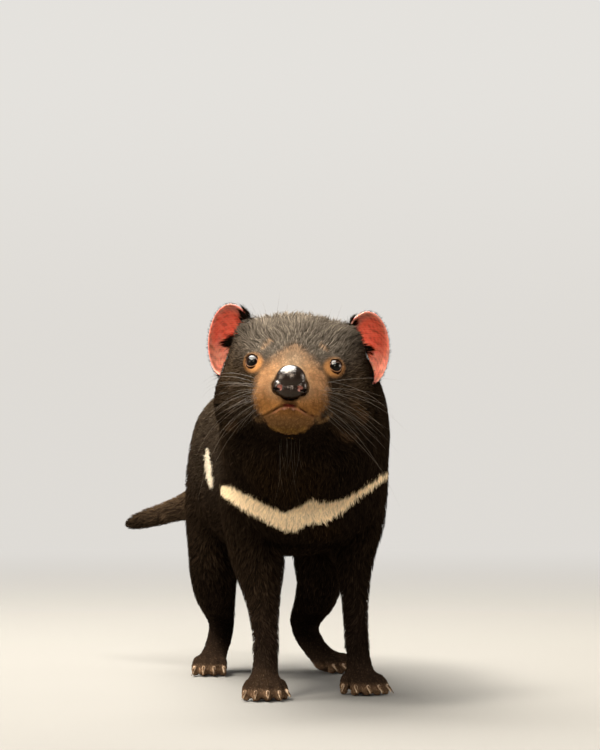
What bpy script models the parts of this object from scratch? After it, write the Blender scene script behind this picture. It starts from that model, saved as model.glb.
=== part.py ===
"""Life-size Tasmanian devil, a young adult standing square with its head raised.

Metres, +Z up. The animal faces -Y and its right side is at -X. The floor is Z = 0.
"""

import math

import bmesh
import bpy
from mathutils import Euler, Matrix, Vector
from mathutils.bvhtree import BVHTree

# Driving dimensions, in metres. Heights are above the floor, over the coat.
WITHERS_HEIGHT = 0.272
BELLY_HEIGHT = 0.111
CHEST_HALF_WIDTH = 0.073
FLANK_HALF_WIDTH = 0.0772
SHOULDER_Y = -0.118
EYE_HEIGHT = 0.280
EYE_HALF_SPACING = 0.0298
EYE_RADIUS = 0.0072
EAR_WALL = 0.0026
NOSE_HALF_WIDTH = 0.0140
TOE_RADIUS = 0.0047
CLAW_LENGTH = 0.0105
CLAW_RADIUS = 0.0017

# The head's own frame has its origin midway between the eyes.
HEAD_PLACE = Vector((-0.047, -0.305, EYE_HEIGHT))
HEAD_YAW = math.radians(-12.7)
HEAD_ROLL = math.radians(3.3)

GAP = 0.0003
COARSE_GRAIN = 0.0020
FINE_GRAIN = 0.0010
SOLE_SINK = 0.0012

# How square the sections of trunk and skull are: 2 is an oval.
TORSO_FULLNESS = 2.65
SKULL_FULLNESS = 2.25

# Triangles that each node is thinned to before its cuts.
BODY_TRIANGLES = 4400
HEAD_TRIANGLES = 2300
PAW_TRIANGLES = 620
NOSE_TRIANGLES = 360

SIDES = {"right": -1, "left": 1}

COAT = ("coat", (0.018, 0.015, 0.013, 1), 0.75)
PAW_SKIN = ("paw_skin", (0.055, 0.038, 0.030, 1), 0.70)
EAR_SKIN = ("ear_skin", (0.60, 0.13, 0.09, 1), 0.55)
NOSE_SKIN = ("nose_skin", (0.012, 0.010, 0.010, 1), 0.15)
EYE_GLOSS = ("eye_gloss", (0.010, 0.006, 0.004, 1), 0.05)


# Working in Blender

def material(name, colour, roughness):
    """A Principled material, made once."""
    if name in bpy.data.materials:
        return bpy.data.materials[name]
    made = bpy.data.materials.new(name)
    made.use_nodes = True
    shader = made.node_tree.nodes["Principled BSDF"]
    shader.inputs["Base Color"].default_value = colour
    shader.inputs["Roughness"].default_value = roughness
    shader.inputs["Metallic"].default_value = 0
    return made


def new_object(name, bm, finish=None):
    """Puts what bm holds into the scene as one object."""
    mesh = bpy.data.meshes.new(name)
    bm.to_mesh(mesh)
    bm.free()
    made = bpy.data.objects.new(name, mesh)
    bpy.context.scene.collection.objects.link(made)
    if finish:
        mesh.materials.append(material(*finish))
    return made


def remove(*objects):
    for unwanted in objects:
        bpy.data.objects.remove(unwanted)


def apply_modifiers(target):
    """Replaces the object's mesh by what its modifiers give."""
    bpy.context.view_layer.update()
    graph = bpy.context.evaluated_depsgraph_get()
    result = bpy.data.meshes.new_from_object(target.evaluated_get(graph))
    target.modifiers.clear()
    target.data = result
    return target


def grown_together(target, grain, turns):
    """Melts overlapping closed forms into one skin and eases the creases between them."""
    melt = target.modifiers.new("Melt", "REMESH")
    melt.mode = "VOXEL"
    melt.voxel_size = grain
    ease = target.modifiers.new("Ease", "SMOOTH")
    ease.factor = 0.5
    ease.iterations = turns
    return apply_modifiers(target)


def thinned(target, triangles):
    """Brings the mesh down to about this many triangles, fewest where it is flattest."""
    target.data.calc_loop_triangles()
    thin = target.modifiers.new("Thin", "DECIMATE")
    thin.ratio = min(1.0, triangles / len(target.data.loop_triangles))
    thin.use_collapse_triangulate = True
    return apply_modifiers(target)


def boolean(target, operand, operation, solver="EXACT"):
    cut = target.modifiers.new(operation, "BOOLEAN")
    cut.object = operand
    cut.operation = operation
    cut.solver = solver
    return apply_modifiers(target)


def copy_of(source, name):
    made = bpy.data.objects.new(name, source.data.copy())
    bpy.context.scene.collection.objects.link(made)
    return made


def surface_of(target):
    return BVHTree.FromObject(target, bpy.context.evaluated_depsgraph_get())


def largest_piece(target):
    """Keeps the biggest closed surface and drops the scraps."""
    bm = bmesh.new()
    bm.from_mesh(target.data)
    left = set(bm.verts)
    best = []
    while left:
        start = left.pop()
        piece = [start]
        for vert in piece:
            for edge in vert.link_edges:
                other = edge.other_vert(vert)
                if other in left:
                    left.remove(other)
                    piece.append(other)
        if len(piece) > len(best):
            best = piece
    kept = set(best)
    bmesh.ops.delete(bm, geom=[v for v in bm.verts if v not in kept], context="VERTS")
    bm.to_mesh(target.data)
    bm.free()
    return target


def sliced(target, place, normal):
    """Cuts off what lies on the normal's side of a plane and closes the cut."""
    bm = bmesh.new()
    bm.from_mesh(target.data)
    bmesh.ops.bisect_plane(
        bm,
        geom=bm.verts[:] + bm.edges[:] + bm.faces[:],
        dist=1e-7,
        plane_co=place,
        plane_no=normal,
        clear_outer=True,
    )
    rim = [edge for edge in bm.edges if edge.is_boundary]
    bmesh.ops.holes_fill(bm, edges=rim, sides=0)
    bmesh.ops.triangulate(bm, faces=[face for face in bm.faces if len(face.verts) > 3])
    bm.to_mesh(target.data)
    bm.free()
    return target


# Shaping forms

def along(stations, steps):
    """The stations with smooth in-between ones: a Catmull-Rom curve through all their numbers."""
    points = [stations[0], *stations, stations[-1]]
    curve = []
    for before, start, end, after in zip(points, points[1:], points[2:], points[3:]):
        for step in range(steps):
            t = step / steps
            curve.append([
                0.5 * (2 * b + (c - a) * t + (2 * a - 5 * b + 4 * c - d) * t * t
                       + (3 * b - 3 * c + d - a) * t ** 3)
                for a, b, c, d in zip(before, start, end, after)
            ])
    curve.append(list(stations[-1]))
    return curve


def tube(bm, stations, top=(0, 0, 1), sides=24, steps=4, fullness=2.0, frame=None):
    """Adds a closed body of oval rings. A station is x, y, z, half width and half height."""
    place = frame or Matrix.Identity(4)
    rings = along(stations, steps)
    loops = []
    for number, ring in enumerate(rings):
        before = Vector(rings[max(number - 1, 0)][:3])
        after = Vector(rings[min(number + 1, len(rings) - 1)][:3])
        ahead = (after - before).normalized()
        across = ahead.cross(Vector(top)).normalized()
        upward = across.cross(ahead)
        loop = []
        for corner in range(sides):
            angle = 2 * math.pi * corner / sides
            out = [math.copysign(abs(f) ** (2 / fullness), f) for f in (math.cos(angle), math.sin(angle))]
            point = Vector(ring[:3]) + across * ring[3] * out[0] + upward * ring[4] * out[1]
            loop.append(bm.verts.new(place @ point))
        loops.append(loop)
    for first, second in zip(loops, loops[1:]):
        for corner in range(sides):
            following = (corner + 1) % sides
            bm.faces.new((first[corner], first[following], second[following], second[corner]))
    bm.faces.new(loops[0][::-1])
    bm.faces.new(loops[-1])


def ball(bm, centre, radii, turn=(0, 0, 0), frame=None, detail=3):
    """Adds an ellipsoid, turned by degrees about X, Y and Z."""
    place = frame or Matrix.Identity(4)
    turned = Euler([math.radians(a) for a in turn]).to_matrix().to_4x4()
    matrix = place @ Matrix.Translation(centre) @ turned @ Matrix.Diagonal((*radii, 1))
    bmesh.ops.create_icosphere(bm, subdivisions=detail, radius=1, matrix=matrix)


def ring(bm, centre, facing, radius, thickness, frame=None, flatten=1.0, around=28, section=10):
    """Adds a torus round a point, its hole looking along facing."""
    place = frame or Matrix.Identity(4)
    axis = Vector(facing).normalized()
    side = axis.cross(Vector((0, 0, 1))).normalized()
    upward = side.cross(axis)
    loops = []
    for turn in range(around):
        a = 2 * math.pi * turn / around
        out = side * math.cos(a) + upward * math.sin(a) * flatten
        loop = []
        for corner in range(section):
            b = 2 * math.pi * corner / section
            point = Vector(centre) + out * (radius + thickness * math.cos(b)) + axis * thickness * math.sin(b)
            loop.append(bm.verts.new(place @ point))
        loops.append(loop)
    for turn in range(around):
        first, second = loops[turn], loops[(turn + 1) % around]
        for corner in range(section):
            following = (corner + 1) % section
            bm.faces.new((first[corner], second[corner], second[following], first[following]))


def head_frame():
    turned = Euler((0, HEAD_ROLL, HEAD_YAW)).to_matrix().to_4x4()
    return Matrix.Translation(HEAD_PLACE) @ turned


# Torso, neck and tail

def add_torso(bm):
    """A barrel, deepest behind the shoulders, that slopes down to the rump."""
    chest, flank = CHEST_HALF_WIDTH, FLANK_HALF_WIDTH
    back, belly = WITHERS_HEIGHT, BELLY_HEIGHT
    profile = [
        # x, y, half width, top, bottom
        (-0.010, -0.200, 0.36 * chest, back - 0.072, belly + 0.058),
        (-0.009, -0.190, 0.68 * chest, back - 0.050, belly + 0.036),
        (-0.008, -0.165, 0.90 * chest, back - 0.024, belly + 0.020),
        (-0.007, SHOULDER_Y, 1.00 * chest, back - 0.004, belly + 0.014),
        (-0.003, -0.060, 0.96 * flank, back + 0.002, belly + 0.007),
        (0.000, 0.000, 1.00 * flank, back + 0.001, belly),
        (0.000, 0.052, 1.00 * flank, back - 0.002, belly + 0.003),
        (0.000, 0.110, 0.93 * flank, back - 0.010, belly + 0.013),
        (0.000, 0.155, 0.78 * flank, back - 0.026, belly + 0.019),
        (0.000, 0.190, 0.56 * flank, back - 0.050, belly + 0.026),
        (0.000, 0.212, 0.32 * flank, back - 0.074, belly + 0.038),
    ]
    stations = [(x, y, (top + low) / 2, wide, (top - low) / 2) for x, y, wide, top, low in profile]
    tube(bm, stations, sides=40, fullness=TORSO_FULLNESS)
    ball(bm, (-0.010, -0.156, 0.179), (0.063, 0.047, 0.051))


def add_neck(bm):
    """A short thick neck that turns towards the animal's right."""
    tube(bm, [
        (0.000, -0.085, 0.200, 0.068, 0.062),
        (-0.009, -0.140, 0.212, 0.0715, 0.067),
        (-0.017, -0.182, 0.225, 0.0725, 0.067),
        (-0.024, -0.215, 0.240, 0.0705, 0.063),
        (-0.031, -0.243, 0.251, 0.0665, 0.059),
        (-0.038, -0.268, 0.258, 0.0520, 0.045),
    ], sides=32, fullness=2.1)


def add_tail(bm):
    """Thick at the root, carried back and to the right, drooping to a short brush."""
    tube(bm, [
        (0.000, 0.165, 0.196, 0.0340, 0.0380),
        (-0.004, 0.190, 0.185, 0.0300, 0.0335),
        (-0.017, 0.217, 0.171, 0.0235, 0.0255),
        (-0.036, 0.250, 0.156, 0.0172, 0.0180),
        (-0.057, 0.287, 0.144, 0.0128, 0.0132),
        (-0.078, 0.323, 0.135, 0.0108, 0.0112),
        (-0.092, 0.350, 0.129, 0.0080, 0.0086),
        (-0.098, 0.366, 0.126, 0.0035, 0.0040),
    ], sides=18)


# Legs down to the palm and the sole

LEGS = {
    "foreleg_right": {
        "bones": [[
            (-0.051, -0.128, 0.215, 0.026, 0.040),
            (-0.052, -0.122, 0.178, 0.0280, 0.039),
            (-0.049, -0.114, 0.142, 0.0265, 0.033),
            (-0.045, -0.119, 0.112, 0.0228, 0.0250),
            (-0.044, -0.132, 0.082, 0.0150, 0.0165),
            (-0.044, -0.145, 0.055, 0.0116, 0.0122),
            (-0.045, -0.152, 0.032, 0.0114, 0.0115),
            (-0.047, -0.157, 0.014, 0.0130, 0.0120),
        ]],
        "palm": (-0.0485, -0.162, 0.0120),
        "toes_turn": -13,
    },
    "foreleg_left": {
        "bones": [[
            (0.037, -0.128, 0.215, 0.026, 0.040),
            (0.041, -0.120, 0.178, 0.0265, 0.038),
            (0.042, -0.106, 0.142, 0.0230, 0.031),
            (0.041, -0.100, 0.112, 0.0165, 0.0215),
            (0.041, -0.103, 0.082, 0.0122, 0.0145),
            (0.041, -0.108, 0.055, 0.0108, 0.0120),
            (0.042, -0.112, 0.032, 0.0112, 0.0115),
            (0.043, -0.116, 0.014, 0.0130, 0.0120),
        ]],
        "palm": (0.0430, -0.121, 0.0120),
        "toes_turn": 10,
    },
    "hind_leg_right": {
        "bones": [[
            (-0.036, 0.128, 0.205, 0.034, 0.050),
            (-0.046, 0.117, 0.168, 0.0290, 0.050),
            (-0.0505, 0.101, 0.130, 0.0245, 0.043),
            (-0.0510, 0.094, 0.104, 0.0228, 0.035),
            (-0.0500, 0.105, 0.082, 0.0202, 0.0262),
            (-0.0415, 0.134, 0.059, 0.0150, 0.0172),
            (-0.0350, 0.153, 0.045, 0.0126, 0.0128),
            (-0.0340, 0.158, 0.038, 0.0112, 0.0104),
        ], [
            (-0.034, 0.157, 0.041, 0.0118, 0.0108),
            (-0.038, 0.146, 0.031, 0.0124, 0.0116),
            (-0.045, 0.126, 0.020, 0.0122, 0.0110),
            (-0.051, 0.109, 0.013, 0.0135, 0.0105),
        ]],
        "palm": (-0.0530, 0.1040, 0.0100),
        "toes_turn": -12,
    },
    "hind_leg_left": {
        "bones": [[
            (0.034, 0.128, 0.205, 0.034, 0.050),
            (0.044, 0.117, 0.168, 0.0290, 0.050),
            (0.0465, 0.101, 0.130, 0.0258, 0.043),
            (0.0465, 0.094, 0.104, 0.0248, 0.035),
            (0.0478, 0.105, 0.082, 0.0208, 0.0265),
            (0.0460, 0.134, 0.059, 0.0170, 0.0178),
            (0.0415, 0.153, 0.045, 0.0142, 0.0134),
            (0.0395, 0.158, 0.038, 0.0118, 0.0106),
        ], [
            (0.040, 0.157, 0.041, 0.0122, 0.0110),
            (0.044, 0.147, 0.031, 0.0126, 0.0118),
            (0.049, 0.131, 0.020, 0.0122, 0.0110),
            (0.055, 0.117, 0.013, 0.0135, 0.0105),
        ]],
        "palm": (0.0570, 0.1130, 0.0100),
        "toes_turn": 30,
    },
}


def palm_frame(leg):
    """The frame of a paw: origin on the floor under the palm, toes towards -Y."""
    x, y, _ = LEGS[leg]["palm"]
    return Matrix.Translation((x, y, 0)) @ Matrix.Rotation(math.radians(LEGS[leg]["toes_turn"]), 4, "Z")


def add_leg(bm, leg):
    for stations in LEGS[leg]["bones"]:
        tube(bm, stations, top=(0, -1, 0) if stations is LEGS[leg]["bones"][0] else (0, 0, 1))
    height = LEGS[leg]["palm"][2]
    ball(bm, (0, 0, height), (0.0155, 0.0150, height + SOLE_SINK), frame=palm_frame(leg))


def toe_roots(leg):
    """Side offset, turn in degrees, reach of each toe, and how far forward its root is."""
    if leg.startswith("foreleg"):
        outward = -1 if leg.endswith("right") else 1
        toes = [(-0.0108, -10, 0.0185, 0.005), (-0.0036, -3, 0.0215, 0.007),
                (0.0038, 4, 0.0215, 0.007), (0.0110, 11, 0.0185, 0.005)]
        return toes + [(-outward * 0.0125, -outward * 32, 0.0125, -0.003)]
    return [(-0.0102, -9, 0.0185, 0.005), (-0.0035, -3, 0.0215, 0.006),
            (0.0035, 3, 0.0215, 0.006), (0.0102, 9, 0.0190, 0.005)]


def toe_points(leg):
    """For each toe, its frame: origin at its root on the floor, pointing along -Y."""
    for side, turn, reach, forward in toe_roots(leg):
        local = Matrix.Translation((side, -forward, 0)) @ Matrix.Rotation(math.radians(turn), 4, "Z")
        yield palm_frame(leg) @ local, reach


def add_toes(bm, leg):
    """Each toe arches from the paw and comes down on its pad, with a claw at its end."""
    r = TOE_RADIUS
    for frame, reach in toe_points(leg):
        tube(bm, [
            (0, 0.004, 0.0135, r, r),
            (0, -0.35 * reach, 0.0135, r, r * 1.02),
            (0, -0.70 * reach, 0.0098, r * 0.98, r),
            (0, -0.93 * reach, 0.0060, r * 0.90, r * 0.90),
            (0, -1.10 * reach, 0.0050, r * 0.45, r * 0.45),
        ], sides=14, frame=frame)
        ball(bm, (0, -0.82 * reach, 0.0036), (r * 0.92, r * 1.1, 0.0036 + SOLE_SINK), frame=frame, detail=2)


def add_claws(bm, leg):
    """Horn claws, rooted inside the toes and curving down to the floor."""
    for frame, reach in toe_points(leg):
        tip = 1.02 * reach + CLAW_LENGTH
        tube(bm, [
            (0, -0.80 * reach, 0.0078, CLAW_RADIUS, CLAW_RADIUS * 1.25),
            (0, -1.05 * reach, 0.0082, CLAW_RADIUS, CLAW_RADIUS * 1.25),
            (0, -0.55 * reach - 0.45 * tip, 0.0070, CLAW_RADIUS * 0.85, CLAW_RADIUS * 1.05),
            (0, -0.10 * reach - 0.86 * tip, 0.0044, CLAW_RADIUS * 0.55, CLAW_RADIUS * 0.65),
            (0, -tip, 0.0016, CLAW_RADIUS * 0.18, CLAW_RADIUS * 0.18),
        ], sides=8, steps=2, frame=frame)


# Head

def add_skull(bm):
    """The big broad head: cranium, cheeks, brows and blunt muzzle."""
    frame = head_frame()
    profile = [
        # y, half width, top, bottom
        (0.104, 0.054, 0.016, -0.060),
        (0.078, 0.0600, 0.034, -0.068),
        (0.048, 0.0615, 0.0425, -0.070),
        (0.022, 0.0570, 0.0385, -0.068),
        (0.004, 0.0490, 0.0270, -0.065),
        (-0.012, 0.0385, 0.0140, -0.0605),
        (-0.026, 0.0320, 0.0050, -0.0560),
        (-0.038, 0.0280, 0.0010, -0.0510),
        (-0.047, 0.0220, -0.0030, -0.0440),
        (-0.052, 0.0120, -0.0090, -0.0360),
    ]
    stations = [(0, y, (top + low) / 2, wide, (top - low) / 2) for y, wide, top, low in profile]
    tube(bm, stations, sides=40, fullness=SKULL_FULLNESS, frame=frame)
    for side in SIDES.values():
        ball(bm, (side * 0.0385, 0.034, -0.030), (0.0275, 0.042, 0.037), (0, 0, side * 14), frame)
        ball(bm, (side * 0.0140, -0.0290, -0.0255), (0.0168, 0.0215, 0.0185), (0, 0, side * 16), frame)
        ball(bm, (side * 0.0270, 0.0045, 0.0140), (0.0130, 0.0110, 0.0090), (0, side * 20, side * 25), frame)
        ball(bm, (side * 0.0310, 0.0400, 0.0215), (0.0220, 0.0340, 0.0165), (0, 0, 0), frame)
    ball(bm, (0, -0.0250, -0.0455), (0.0225, 0.0195, 0.0125), (10, 0, 0), frame)


def eye_facing(side):
    return head_frame().to_3x3() @ Vector((side * 0.36, -0.90, 0.10)).normalized()


def eye_centres(surface):
    """Each eyeball stands as far out of the skull as a real one, wherever the skull's surface is."""
    centres = {}
    for side in SIDES.values():
        facing = eye_facing(side)
        aim = head_frame() @ Vector((side * EYE_HALF_SPACING, -0.004, 0.0))
        place = surface.ray_cast(aim + facing * 0.05, -facing)[0]
        centres[side] = place - facing * EYE_RADIUS * 0.74
    return centres


def add_lids(bm, eyes):
    """Upper and lower lid as one raised ring round each eye, and the fold outside them."""
    for side, centre in eyes.items():
        facing = eye_facing(side)
        ring(bm, centre + facing * 0.0042, facing, 0.0063, 0.0019, flatten=0.90)
        ring(bm, centre + facing * 0.0026, facing, 0.0086, 0.0016, flatten=0.92)


MOUTH_LINE = [
    # From the middle of the lip, under the nose, back to the corner: x, y, z in the head's frame.
    (0.000, -0.056, -0.0310),
    (0.006, -0.055, -0.0325),
    (0.013, -0.051, -0.0360),
    (0.021, -0.043, -0.0405),
    (0.028, -0.030, -0.0430),
    (0.034, -0.015, -0.0440),
    (0.041, -0.002, -0.0425),
]
LIP_RADIUS = 0.0019


def on_surface(surface, points, depth):
    """The points moved to the nearest place of a mesh, sunk below it by depth."""
    found = []
    for point in points:
        place, normal, _, _ = surface.find_nearest(point)
        found.append(place - normal * depth)
    return found


def mouth_route(surface, depth, raise_by=0.0):
    """The mouth from corner to corner, laid on the surface of the head."""
    half = [Vector(p) + Vector((0, 0, raise_by)) for p in MOUTH_LINE]
    whole = [Vector((-p.x, p.y, p.z)) for p in reversed(half[1:])] + half
    return on_surface(surface, [head_frame() @ p for p in whole], depth)


def add_cord(bm, route, radius):
    """A round form along a route, thinned at both ends."""
    count = len(route) - 1
    tube(bm, [
        (*p, radius * (0.45 if i in (0, count) else 1), radius * (0.45 if i in (0, count) else 1))
        for i, p in enumerate(route)
    ], sides=6, steps=2)


def add_nose(bm):
    """The bare nose pad: a rounded block with a wing over each nostril."""
    frame = head_frame()
    wide = NOSE_HALF_WIDTH
    ball(bm, (0, -0.0475, -0.0115), (wide * 0.86, 0.0100, 0.0110), (-18, 0, 0), frame)
    ball(bm, (0, -0.0490, -0.0190), (wide * 0.62, 0.0085, 0.0095), (0, 0, 0), frame)
    for side in SIDES.values():
        ball(bm, (side * wide * 0.62, -0.0478, -0.0175), (0.0058, 0.0075, 0.0068), (0, 0, 0), frame)


def nose_nodes():
    """The nose pad with its nostrils, and its seat: the same pad without them, one gap larger."""
    bm = bmesh.new()
    add_nose(bm)
    nose = grown_together(new_object("nose", bm, NOSE_SKIN), 0.0006, 6)
    thinned(nose, NOSE_TRIANGLES)
    seat = grown(copy_of(nose, "seat"), 1.4 * GAP)
    frame = head_frame()
    bm = bmesh.new()
    for side in SIDES.values():
        # A nostril opens forwards and sweeps back to the side as a slit.
        ball(bm, (side * 0.0078, -0.0560, -0.0182), (0.0026, 0.0050, 0.0023), (0, side * 20, side * 25), frame, 2)
        ball(bm, (side * 0.0118, -0.0527, -0.0196), (0.0026, 0.0040, 0.0013), (0, side * 15, side * 50), frame, 2)
    nostrils = grown_together(new_object("nostrils", bm), 0.0005, 1)
    thinned(nostrils, 160)
    boolean(nose, nostrils, "DIFFERENCE")
    remove(nostrils)
    return largest_piece(nose), seat


def head_nodes(flesh, seat):
    """Head cut from the whole flesh, with lids, lips, mouth, eye sockets and the nose's seat."""
    head = copy_of(flesh, "head")
    place, normal = NECK_CUTS["head"]
    sliced(head, place + normal * 0.008, normal)
    largest_piece(head)
    surface = surface_of(head)
    eyes = eye_centres(surface)
    bm = bmesh.new()
    bm.from_mesh(head.data)
    add_lids(bm, eyes)
    add_cord(bm, mouth_route(surface, 0.0008, 0.0026), LIP_RADIUS)
    add_cord(bm, mouth_route(surface, 0.0008, -0.0026), LIP_RADIUS)
    bm.to_mesh(head.data)
    bm.free()
    grown_together(head, FINE_GRAIN, 4)

    surface = surface_of(head)
    bm = bmesh.new()
    add_cord(bm, mouth_route(surface, 0.0001), 0.0014)
    groove = new_object("groove", bm)
    thinned(head, HEAD_TRIANGLES)
    boolean(head, groove, "DIFFERENCE")

    bm = bmesh.new()
    for centre in eyes.values():
        bmesh.ops.create_uvsphere(
            bm, u_segments=16, v_segments=10, radius=EYE_RADIUS + 1.8 * GAP, matrix=Matrix.Translation(centre)
        )
    sockets = new_object("sockets", bm)
    boolean(head, sockets, "DIFFERENCE")
    bm = bmesh.new()
    for side, centre in eyes.items():
        outwards = eye_facing(side).to_track_quat("Z", "Y").to_matrix().to_4x4()
        bmesh.ops.create_cone(
            bm, segments=16, cap_ends=True, radius1=0.0044, radius2=0.0066, depth=0.012,
            matrix=Matrix.Translation(centre + eye_facing(side) * 0.0095) @ outwards,
        )
    openings = new_object("openings", bm)
    boolean(head, openings, "DIFFERENCE")

    boolean(head, seat, "DIFFERENCE")
    remove(groove, sockets, openings, seat)
    sliced(head, place - normal * GAP / 2, normal)
    head.data.materials.clear()
    head.data.materials.append(material(*COAT))
    return [largest_piece(head), *(eye_node(name, eyes[side]) for name, side in SIDES.items())]


def grown(target, distance):
    """Moves the whole surface outwards."""
    grow = target.modifiers.new("Grow", "DISPLACE")
    grow.strength = distance
    grow.mid_level = 0
    return apply_modifiers(target)


def eye_node(side_name, centre):
    bm = bmesh.new()
    bmesh.ops.create_uvsphere(
        bm, u_segments=14, v_segments=9, radius=EYE_RADIUS, matrix=Matrix.Translation(centre)
    )
    return new_object("eye_" + side_name, bm, EYE_GLOSS)


# Ears

EAR_RIM = [
    # The rim seen from the front, from where it leaves the brow over the top and down to the cheek:
    # x, y, z in the head's frame, for the left ear.
    (0.0400, 0.0420, 0.0300),
    (0.0440, 0.0360, 0.0395),
    (0.0520, 0.0340, 0.0460),
    (0.0610, 0.0370, 0.0455),
    (0.0690, 0.0420, 0.0370),
    (0.0730, 0.0470, 0.0240),
    (0.0735, 0.0500, 0.0100),
    (0.0700, 0.0480, -0.0030),
    (0.0640, 0.0420, -0.0105),
    (0.0560, 0.0340, -0.0100),
    (0.0500, 0.0290, 0.0000),
    (0.0450, 0.0300, 0.0150),
]
EAR_DEEP = Vector((0.0470, 0.0640, 0.0120))


def ear_bowl(side):
    """A closed cup: rings go from the deepest point out to the rim inside, then back outside."""
    frame = head_frame()
    rim = [Vector(p) for p in along([*EAR_RIM, EAR_RIM[0]], 2)[:-1]]
    middle = sum(rim, Vector()) / len(rim)
    inward = (EAR_DEEP - middle).normalized()
    depth = (EAR_DEEP - middle).length
    half = EAR_WALL / 2
    bm = bmesh.new()

    def cup_ring(step, thicken):
        """A quarter round section: wide near the rim, closing at the bottom of the cup."""
        angle = step / 5 * math.pi / 2
        spread = math.cos(angle) ** 0.75
        points = []
        for p in rim:
            out = p - middle
            point = middle + out * spread + inward * (depth + thicken) * math.sin(angle)
            points.append(point + out.normalized() * thicken * math.cos(angle))
        return points

    def verts(points):
        return [bm.verts.new(frame @ Vector((side * p.x, p.y, p.z))) for p in points]

    lip = [p - inward * half for p in cup_ring(0, 0)]
    rings = [cup_ring(step, -half) for step in range(4, -1, -1)]
    rings += [lip]
    rings += [cup_ring(step, half) for step in range(5)]
    order = [verts(points) for points in rings]
    bottom = verts([middle + inward * (depth - half)])[0]
    back = verts([middle + inward * (depth + half)])[0]
    count = len(rim)
    for i in range(count):
        j = (i + 1) % count
        for first, second in zip(order, order[1:]):
            bm.faces.new((first[i], first[j], second[j], second[i]))
        bm.faces.new((order[0][j], order[0][i], bottom))
        bm.faces.new((order[-1][i], order[-1][j], back))
    bmesh.ops.recalc_face_normals(bm, faces=bm.faces)
    return bm


def ear_node(side_name, head_cutter):
    ear = new_object("ear_" + side_name, ear_bowl(SIDES[side_name]), EAR_SKIN)
    boolean(ear, head_cutter, "DIFFERENCE")
    return largest_piece(ear)


# Parting the flesh into named nodes

NECK_CUTS = {
    # Where the cut is, and which way is off the part that the cut is named for.
    "head": (HEAD_PLACE + Vector((0.022, 0.083, -0.012)), Vector((0.20, 0.92, -0.34)).normalized()),
    "neck": (Vector((-0.006, -0.150, 0.215)), Vector((0.10, 0.90, -0.42)).normalized()),
}
TAIL_CUT = (Vector((-0.006, 0.202, 0.178)), Vector((0.25, -0.88, 0.40)).normalized())
LEG_REGIONS = {
    # Front and back y of the block round the leg, of the wedge above it, and the wedge's top at
    # its inner and outer side.
    "foreleg": (-0.250, -0.030, -0.172, -0.072, 0.112, 0.190),
    "hind_leg": (0.020, 0.230, 0.052, 0.162, 0.108, 0.196),
}
REGION_INNER, REGION_OUTER = 0.003, 0.120
BLOCK_TOP = 0.1065
LIMB_CUTS = {
    # The elbow or knee and the wrist or hock: the height of each cut, at the front, and how it tilts.
    "foreleg": (0.106, 0.040),
    "hind_leg": (0.108, 0.057),
}
LIMB_NAMES = {
    "foreleg": ("upper_foreleg", "lower_foreleg", "forepaw"),
    "hind_leg": ("thigh", "shank", "hind_paw"),
}
DOWN = Vector((0, 0, -1))


def leg_region(leg, extra):
    """A block round one leg below the belly, with a slanting wedge on it up the shoulder or hip."""
    kind, side_name = leg.rsplit("_", 1)
    side = SIDES[side_name]
    front, back, high_front, high_back, low, high = LEG_REGIONS[kind]
    bm = bmesh.new()
    rings = []
    for x, top in ((REGION_INNER - extra, low + extra), (REGION_OUTER, high + extra)):
        outline = [
            (front, -0.05), (back, -0.05), (back, BLOCK_TOP + extra), (high_back + extra, BLOCK_TOP + extra),
            (high_back + extra, top), (high_front - extra, top), (high_front - extra, BLOCK_TOP + extra),
            (front, BLOCK_TOP + extra),
        ]
        rings.append([bm.verts.new((side * x, y, z)) for y, z in outline])
    count = len(rings[0])
    for i in range(count):
        j = (i + 1) % count
        bm.faces.new((rings[0][i], rings[0][j], rings[1][j], rings[1][i]))
    bm.faces.new(rings[0])
    bm.faces.new(rings[1])
    bmesh.ops.recalc_face_normals(bm, faces=bm.faces)
    return new_object("region", bm)


def sole_cut(target):
    return sliced(target, Vector((0, 0, 0)), DOWN)


def leg_nodes(leg, body, flesh):
    """Upper part, lower part and paw of one leg. The paw is made again with its toes and claws."""
    kind, side_name = leg.rsplit("_", 1)
    upper_name, lower_name, paw_name = (f"{name}_{side_name}" for name in LIMB_NAMES[kind])
    knee, wrist = LIMB_CUTS[kind]
    region = leg_region(leg, 0.0)

    upper = copy_of(body, upper_name)
    boolean(upper, region, "INTERSECT")
    lower = copy_of(upper, lower_name)
    sliced(upper, Vector((0, 0, knee + GAP / 2)), DOWN)
    sliced(lower, Vector((0, 0, knee - GAP / 2)), -DOWN)
    sliced(lower, Vector((0, 0, wrist + GAP / 2)), DOWN)

    paw = copy_of(flesh, paw_name)
    sliced(paw, Vector((0, 0, wrist + 0.010)), -DOWN)
    x, y, _ = LEGS[leg]["palm"]
    sliced(paw, Vector((0, 0, 0)), Vector((-SIDES[side_name], 0, 0)))
    sliced(paw, Vector((0, 0, 0)), Vector((0, 1 if y < 0 else -1, 0)))
    bm = bmesh.new()
    bm.from_mesh(paw.data)
    add_toes(bm, leg)
    bm.to_mesh(paw.data)
    bm.free()
    grown_together(paw, FINE_GRAIN, 4)
    thinned(paw, PAW_TRIANGLES - 40 * len(toe_roots(leg)))
    claws = add_claw_objects(paw, leg)
    sliced(paw, Vector((0, 0, wrist - GAP / 2)), -DOWN)
    sole_cut(paw)
    paw.data.materials.clear()
    paw.data.materials.append(material(*PAW_SKIN))
    remove(region, *claws)
    for node in (upper, lower, paw):
        largest_piece(node)
    return upper, lower, paw


def add_claw_objects(paw, leg):
    """Fuses the claws to the paw."""
    bm = bmesh.new()
    add_claws(bm, leg)
    claws = new_object("claws", bm)
    boolean(paw, claws, "UNION")
    return [claws]


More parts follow.
